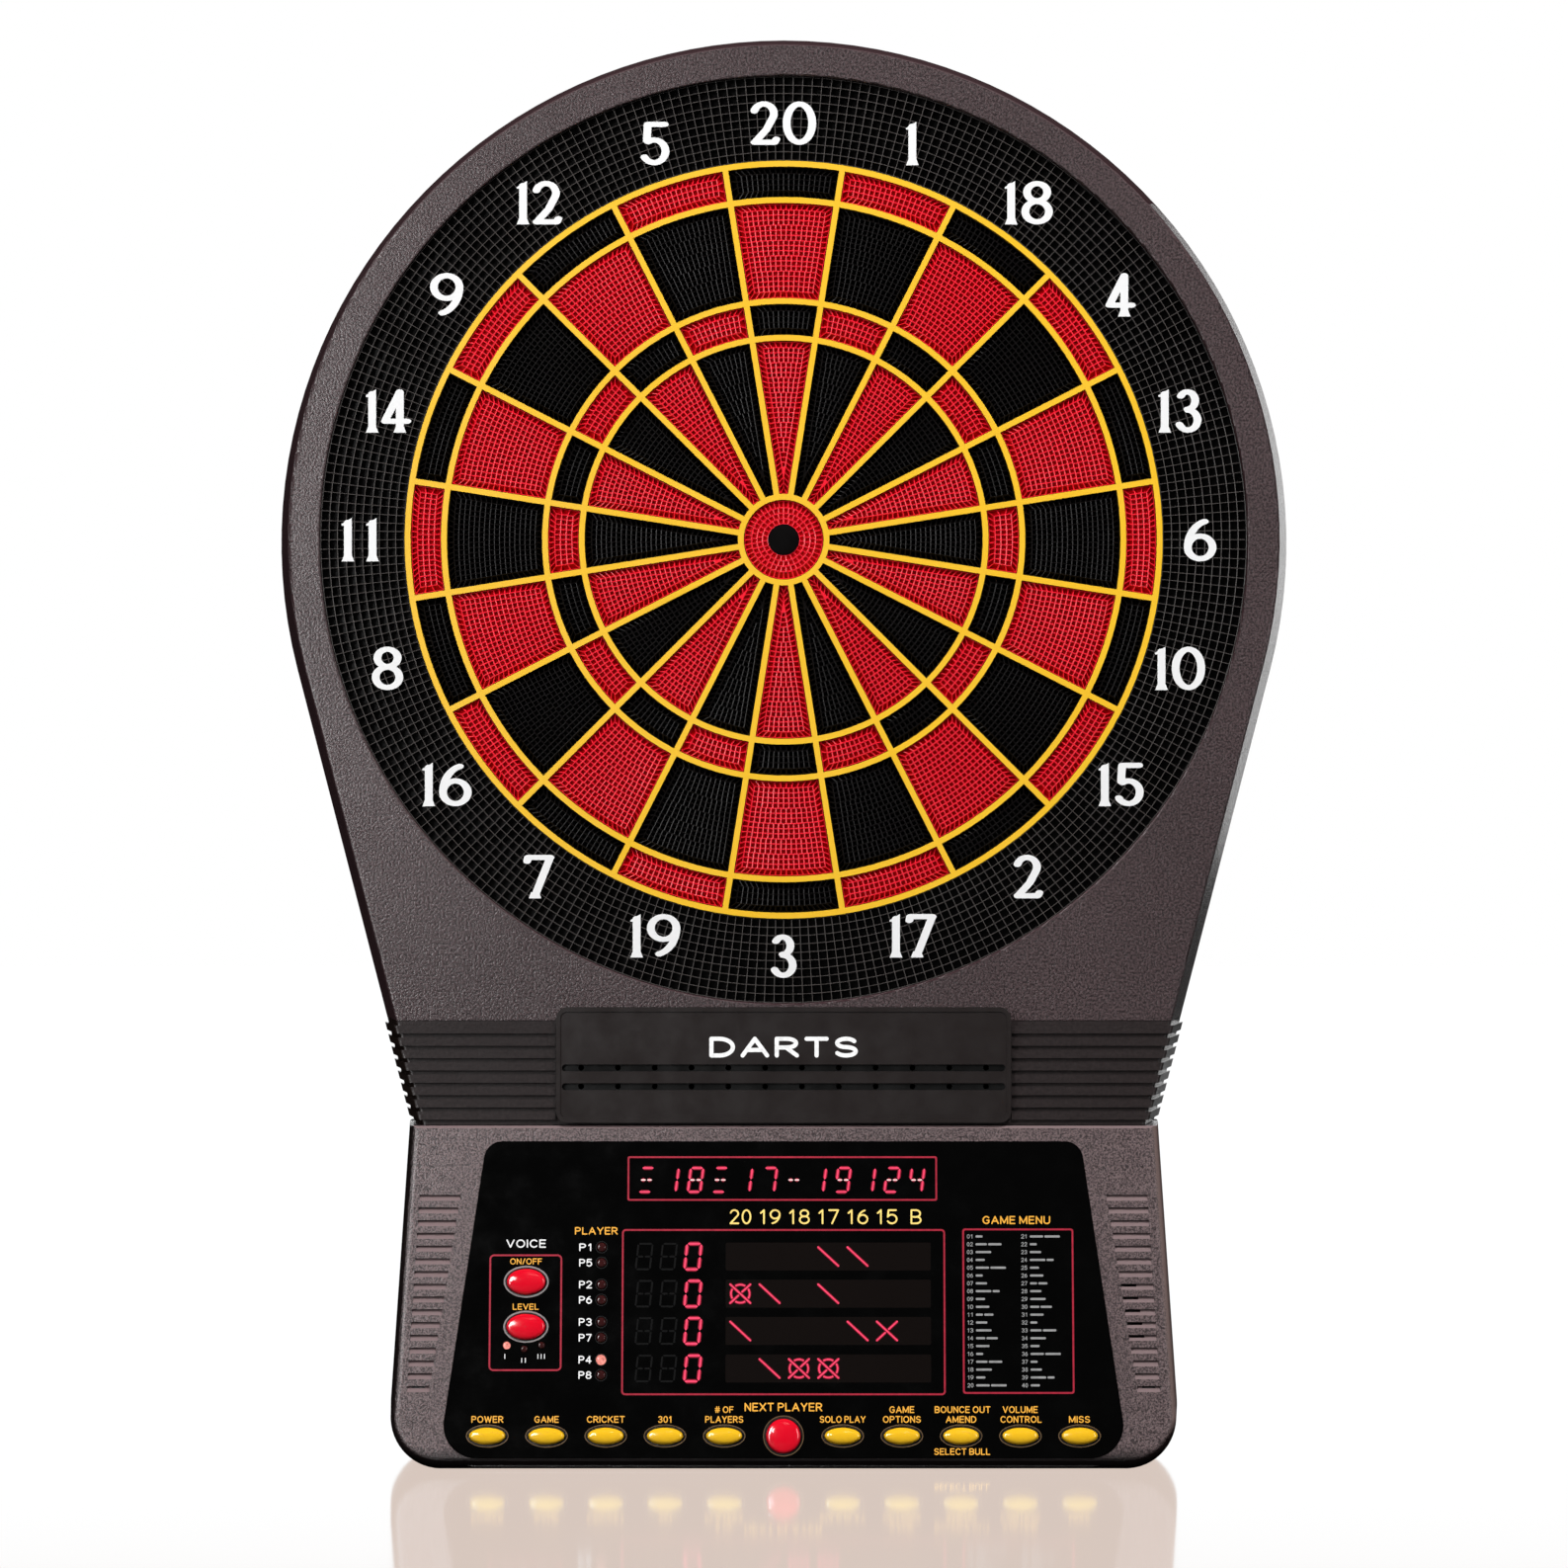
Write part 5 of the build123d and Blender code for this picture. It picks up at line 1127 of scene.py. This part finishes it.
def paint_casing():
    """The casing; each painted side is a colour, the side it lies on and where it starts and is full:
    painted shade on most, and a painted light tan on the console's right side.
    """
    left, right, top, base = (-1, 0, 0), (1, 0, 0), (0, 0, 1), (0, 0, -1)
    # brown and black are painted shade colours; tan is a painted light colour for the lit right side of the
    # console.
    brown, black, tan = (0.05, 0.028, 0.031), (0.01, 0.007, 0.007), (0.2, 0.14, 0.13)
    housing_painted_shade = ((brown, left, 0.4, 0.7), (brown, top, 0.35, 0.65))
    console_painted_light_and_shade = ((black, left, 0.2, 0.6), (tan, right, 0.3, 0.7), (black, base, -0.12, 0.15))
    band_painted_shade = (((0.022, 0.015, 0.013), left, 0.4, 0.7),)
    paint(grained_plastic("housing_grain_painted_shade", (0.024, 0.016, 0.017), (0.094, 0.063, 0.066), 850.0, 0.09, 0.7,
                          housing_painted_shade), "front_housing")
    paint(plastic("rear_grain", (0.035, 0.027, 0.028), 0.55, 1200.0, 0.5, 0.2), "rear_cover")
    paint(grained_plastic("band_dark_painted_shade", (0.019, 0.0145, 0.0145), (0.035, 0.0265, 0.0265), 500.0, 0.2, 0.2,
                          band_painted_shade), "waist_band")
    rack_front = front_depth("dart_rack") - RACK_STEP
    paint(grooved_plastic("rack_black", (0.018, 0.0135, 0.013), rack_front - 0.3, 1.0), "dart_rack")
    paint(console_plastic("console_grain_painted_light_and_shade", (0.032, 0.022, 0.023), (0.182, 0.13, 0.132), 1100.0, 0.09, 0.5,
                          console_painted_light_and_shade), "console_housing")
    paint(plastic("lens_black", (0.0012, 0.0012, 0.0012), 0.14, 300.0, 0.01, specular=0.35), "console_lens")
    bevel = NODES["console_lens"].modifiers.new("soft_edge", "BEVEL")
    bevel.width = 0.35 * MM
    bevel.segments = 3
    bevel.limit_method = "ANGLE"


def paint_keys():
    yellow = plastic("key_yellow", (1.0, 0.56, 0.015), 0.12, 600.0, 0.03, spread=0.04, specular=0.8)
    red = plastic("key_red", (0.84, 0.003, 0.02), 0.12, 600.0, 0.03, spread=0.04, specular=0.8)
    for node in KEY_NODES:
        paint(red if node in RED_KEYS else yellow, node)


def paint_inside():
    """The pieces behind the casing."""
    paint(circuit_board("board_green"), "display_board", "keypad_boards", "control_board")
    screws = ("housing_screws", "target_screws", "rack_screws", "board_screws")
    paint(metal("zinc", (0.62, 0.62, 0.6), 0.35), *screws, "speaker_clamp")
    paint(plastic("rubber_grey", (0.22, 0.22, 0.22), 0.75, 900.0, 0.3), "keypad_domes")
    paint(plastic("rubber_black", (0.03, 0.03, 0.03), 0.8, 700.0, 0.5), "rubber_mat")
    paint(plastic("film", (0.6, 0.56, 0.42), 0.25, 300.0, 0.1, 0.2), "sensor_membrane")
    paint(plastic("moulded_black", (0.025, 0.025, 0.025), 0.5, 900.0, 0.3), "target_backplate", "dc_jack")
    paint(plastic("speaker_black", (0.02, 0.02, 0.02), 0.6, 500.0, 0.5), "speaker")
    paint(plastic("cable_grey", (0.35, 0.35, 0.36), 0.45, 800.0, 0.2), "display_cable", "keypad_cable")
    displays = ("marquee_digits", "score_digits", "mark_displays")
    paint(plastic("module_red", (0.05, 0.008, 0.008), 0.2, 500.0, 0.1), *displays)


# ---- Stage
def combined(tree, kind, first, second, **factor):
    """Two shaders mixed by a factor, or added where there is none."""
    node = add_node(tree, kind, **factor)
    for part, socket in zip((first, second), list(node.inputs)[-2:]):
        tree.links.new(part.outputs[0], socket)
    return node


def floor_material():
    """Plain white, with a soft beige mirror image of the board when it is seen from the front.

    It throws hardly any light back up.
    """
    material, tree, shader = node_tree("floor_white")
    put(tree, shader, Base_Color=(0.04, 0.04, 0.04), Roughness=0.7)
    own_white = add_node(tree, "Emission", Color=FLOOR_TINT)
    reflected = tuple(MIRROR_GAIN * (1 - c) for c in FLOOR_TINT)
    mirror = add_node(tree, "BsdfGlossy", Roughness=0.09, Color=reflected)
    both = combined(tree, "AddShader", own_white, mirror)
    from_front = ramp(tree, along(tree, (0, -1, 0), "Incoming"), 0.0, 1.0, 0.85, 0.95)
    surface = combined(tree, "MixShader", add_node(tree, "Emission"), both, Fac=from_front)
    camera_ray = add_node(tree, "LightPath").outputs["Is Camera Ray"]
    seen = combined(tree, "MixShader", shader, surface, Fac=camera_ray)
    put(tree, tree.nodes["Material Output"], Surface=seen.outputs[0])
    return material


def floor():
    """A plain floor that the board stands on."""
    z, half = CAD_BOX[0][2], FLOOR_HALF
    mesh = bpy.data.meshes.new("floor")
    corners = [(-half, -half, z), (half, -half, z), (half, half, z), (-half, half, z)]
    mesh.from_pydata(corners, [], [(0, 1, 2, 3)])
    mesh.materials.append(floor_material())
    in_scene("floor", mesh)


def area_light(name, place, target, size, power, shine=True, spread=True):
    """A soft box; shine makes it seen in glossy reflections and spread makes it light matt surfaces."""
    light = bpy.data.lights.new(name, "AREA")
    light.shape = "RECTANGLE"
    light.size, light.size_y = size
    light.energy = power
    obj = in_scene(name, light)
    obj.location = place
    obj.rotation_euler = (Vector(target) - Vector(place)).to_track_quat("-Z", "Y").to_euler()
    obj.visible_camera = False
    obj.visible_glossy = shine
    obj.visible_diffuse = spread


def world():
    """White for the camera and for glancing reflections off the right side, with a dim glow from above."""
    studio = bpy.data.worlds.new("studio")
    studio.use_nodes = True
    tree = studio.node_tree
    direction = add_node(tree, "TexCoord").outputs["Generated"]
    x, y, z = add_node(tree, "SeparateXYZ", Vector=direction).outputs
    rays = add_node(tree, "LightPath").outputs
    backwards = ramp(tree, y, 0.0, 1.0, 0.6, 0.8)
    rightwards = ramp(tree, x, 0.0, 1.0, -0.2, -0.165)
    low = ramp(tree, z, 1.0, 0.0, 0.14, 0.17)
    backdrop = product(tree, product(tree, backwards, rightwards), low)
    glancing = product(tree, backdrop, rays["Is Glossy Ray"])
    above = product(tree, ramp(tree, z, 0.1, 1.0, -0.2, 0.3), rays["Is Diffuse Ray"])
    strength = ramp(tree, rays["Is Glossy Ray"], 0.0, WORLD_GLOSSY)
    for ray, level in ((rays["Is Camera Ray"], 1.0), (glancing, 1.0), (above, WORLD_DIFFUSE)):
        strength = maths(tree, "MAXIMUM", strength, ramp(tree, ray, 0.0, level))
    put(tree, tree.nodes["Background"], Color=(1, 1, 1), Strength=strength)
    bpy.context.scene.world = studio


def studio_lights():
    """Matt light from the front, above and behind; strips and small boxes make the highlights."""
    area_light("key", (0.5, -2.4, 2.2), (0, 0, -0.1), (1.2, 1.0), 95, shine=False)
    area_light("fill", (-1.2, -2.8, 0.6), (0, 0, -0.1), (1.0, 1.0), 25, shine=False)
    area_light("left_strip", (-1.5, -1.3, 0.1), (0, 0, -0.1), (0.22, 1.5), 20, spread=False)
    area_light("right_strip", (1.8, -1.3, 0.1), (0, 0, -0.1), (0.22, 1.5), 11, spread=False)
    area_light("left_sparkle", (-0.66, -0.75, 0.02), (-0.3, 0, 0.0), (0.15, 0.4), 5.5, spread=False)
    area_light("upper_left_box", (-1.5, -2.8, 1.0), (0, 0, -0.1), (0.4, 0.6), 16, spread=False)
    area_light("back", (0, 2.6, 0.1), (0, 0, -0.1), (1.4, 1.2), 110, shine=False)
    bpy.context.scene.view_settings.view_transform = "Standard"


def camera():
    """At the photograph's angle: level, square on, a little below the bull."""
    data = bpy.data.cameras.new("camera")
    data.sensor_width = 36.0
    data.lens = CAMERA_LENS
    obj = in_scene("camera", data)
    obj.location = CAMERA_PLACE
    obj.rotation_euler = (math.radians(90), 0, 0)
    data.shift_x = -CAMERA_PLACE[0] / -CAMERA_PLACE[1] * CAMERA_LENS / data.sensor_width
    bpy.context.scene.camera = obj


# ---- Build
def target():
    """The segments, the bull, the catch ring with its numbers, and the web."""
    front = front_depth("outer_single_segments_red") - EDGE_DROP
    # Each cell material's second colour is painted shade for the pits.
    red = celled_plastic("red_cells", (0.96, 0.013, 0.036), (0.62, 0.001, 0.007), front, 0.34, 0.25)
    black = celled_plastic("black_cells", (0.005, 0.004, 0.004), (0.001, 0.001, 0.001), front, 0.34, 0.1)
    for ring in ("double", "outer_single", "treble", "inner_single"):
        segment_group(ring, "red", red)
        segment_group(ring, "black", black)
    outer_bull_cells(red)
    # Painted light on the catch ring's black plastic: grey ribs stand for their highlights and near-black
    # pits for their shade.
    grey, dark = (0.088, 0.078, 0.074), (0.003, 0.0025, 0.0025)
    catch_ring_cells(celled_plastic("ring_black", grey, dark, RING_FRONT + 0.3, 0.26, 0.4))
    numerals(plastic("number_white", (0.9, 0.9, 0.9), 0.45, spread=0.02))
    paint(plastic("web_yellow", (0.95, 0.55, 0.02), 0.4, spread=0.05), "spider")
    paint(plastic("bull_black", (0.0015, 0.001, 0.001), 0.4, specular=0.1), "inner_bull")


def console():
    """The lit displays, the printing and the lamps."""
    lit = glow("lit_red", (1.0, 0.06, 0.15), 0.95)
    # lit_bloom is a painted halo of light round the lit bars.
    bloom = glow("lit_bloom", (0.3, 0.004, 0.025), 1.0)
    marquee(lit, glow("lit_dash", (1.0, 0.62, 0.62), 1.0), bloom)
    scores(lit, bloom, plastic("unlit_bars", (0.008, 0.008, 0.008), 0.6, specular=0.05))
    marks(lit, bloom, plastic("window_brown", (0.005, 0.003, 0.0025), 0.6, specular=0.05))
    # Painted light: the frames and the printing below glow, though no lamp lights them.
    frames(glow("frame_red", (0.36, 0.014, 0.035), 1.0))
    labels("orange_labels", ORANGE_LABELS, glow("print_orange_painted_glow", (0.86, 0.41, 0.045), 1.0))
    white = glow("print_white", (0.85, 0.85, 0.85), 1.0)
    labels("white_labels", WHITE_LABELS, white)
    column_heads(glow("print_yellow", (1.0, 0.72, 0.2), 1.0))
    menu(glow("print_grey_painted_glow", (0.27, 0.27, 0.27), 1.0))
    rack_word(white)
    yellow_keys = [node for node in KEY_NODES if not node.startswith("voice")]
    # The rims' flat tan and grey are painted reflection, put in place of the bright edges of the holes.
    key_rims("key_rims", yellow_keys, RIM_GAP, plastic("rim_tan", (0.16, 0.10, 0.05), 0.3))
    voice_keys = [node for node in KEY_NODES if node.startswith("voice")]
    key_rims("voice_rims", voice_keys, VOICE_RIM_GAP, plastic("rim_silver", (0.3, 0.27, 0.27), 0.25))
    lamp_rims(plastic("lamp_rim", (0.02, 0.02, 0.02), 0.2))
    paint(lamp("player_lamp", (0, 0, 1), face_point((0, LIT_LAMP_V, 0))[2]), "player_leds")
    paint(lamp("level_lamp", (1, 0, 0), LEVEL_LAMPS[0][0] * MM), "level_leds")


target()
console()
paint_casing()
paint_keys()
paint_inside()
floor()
world()
studio_lights()
camera()
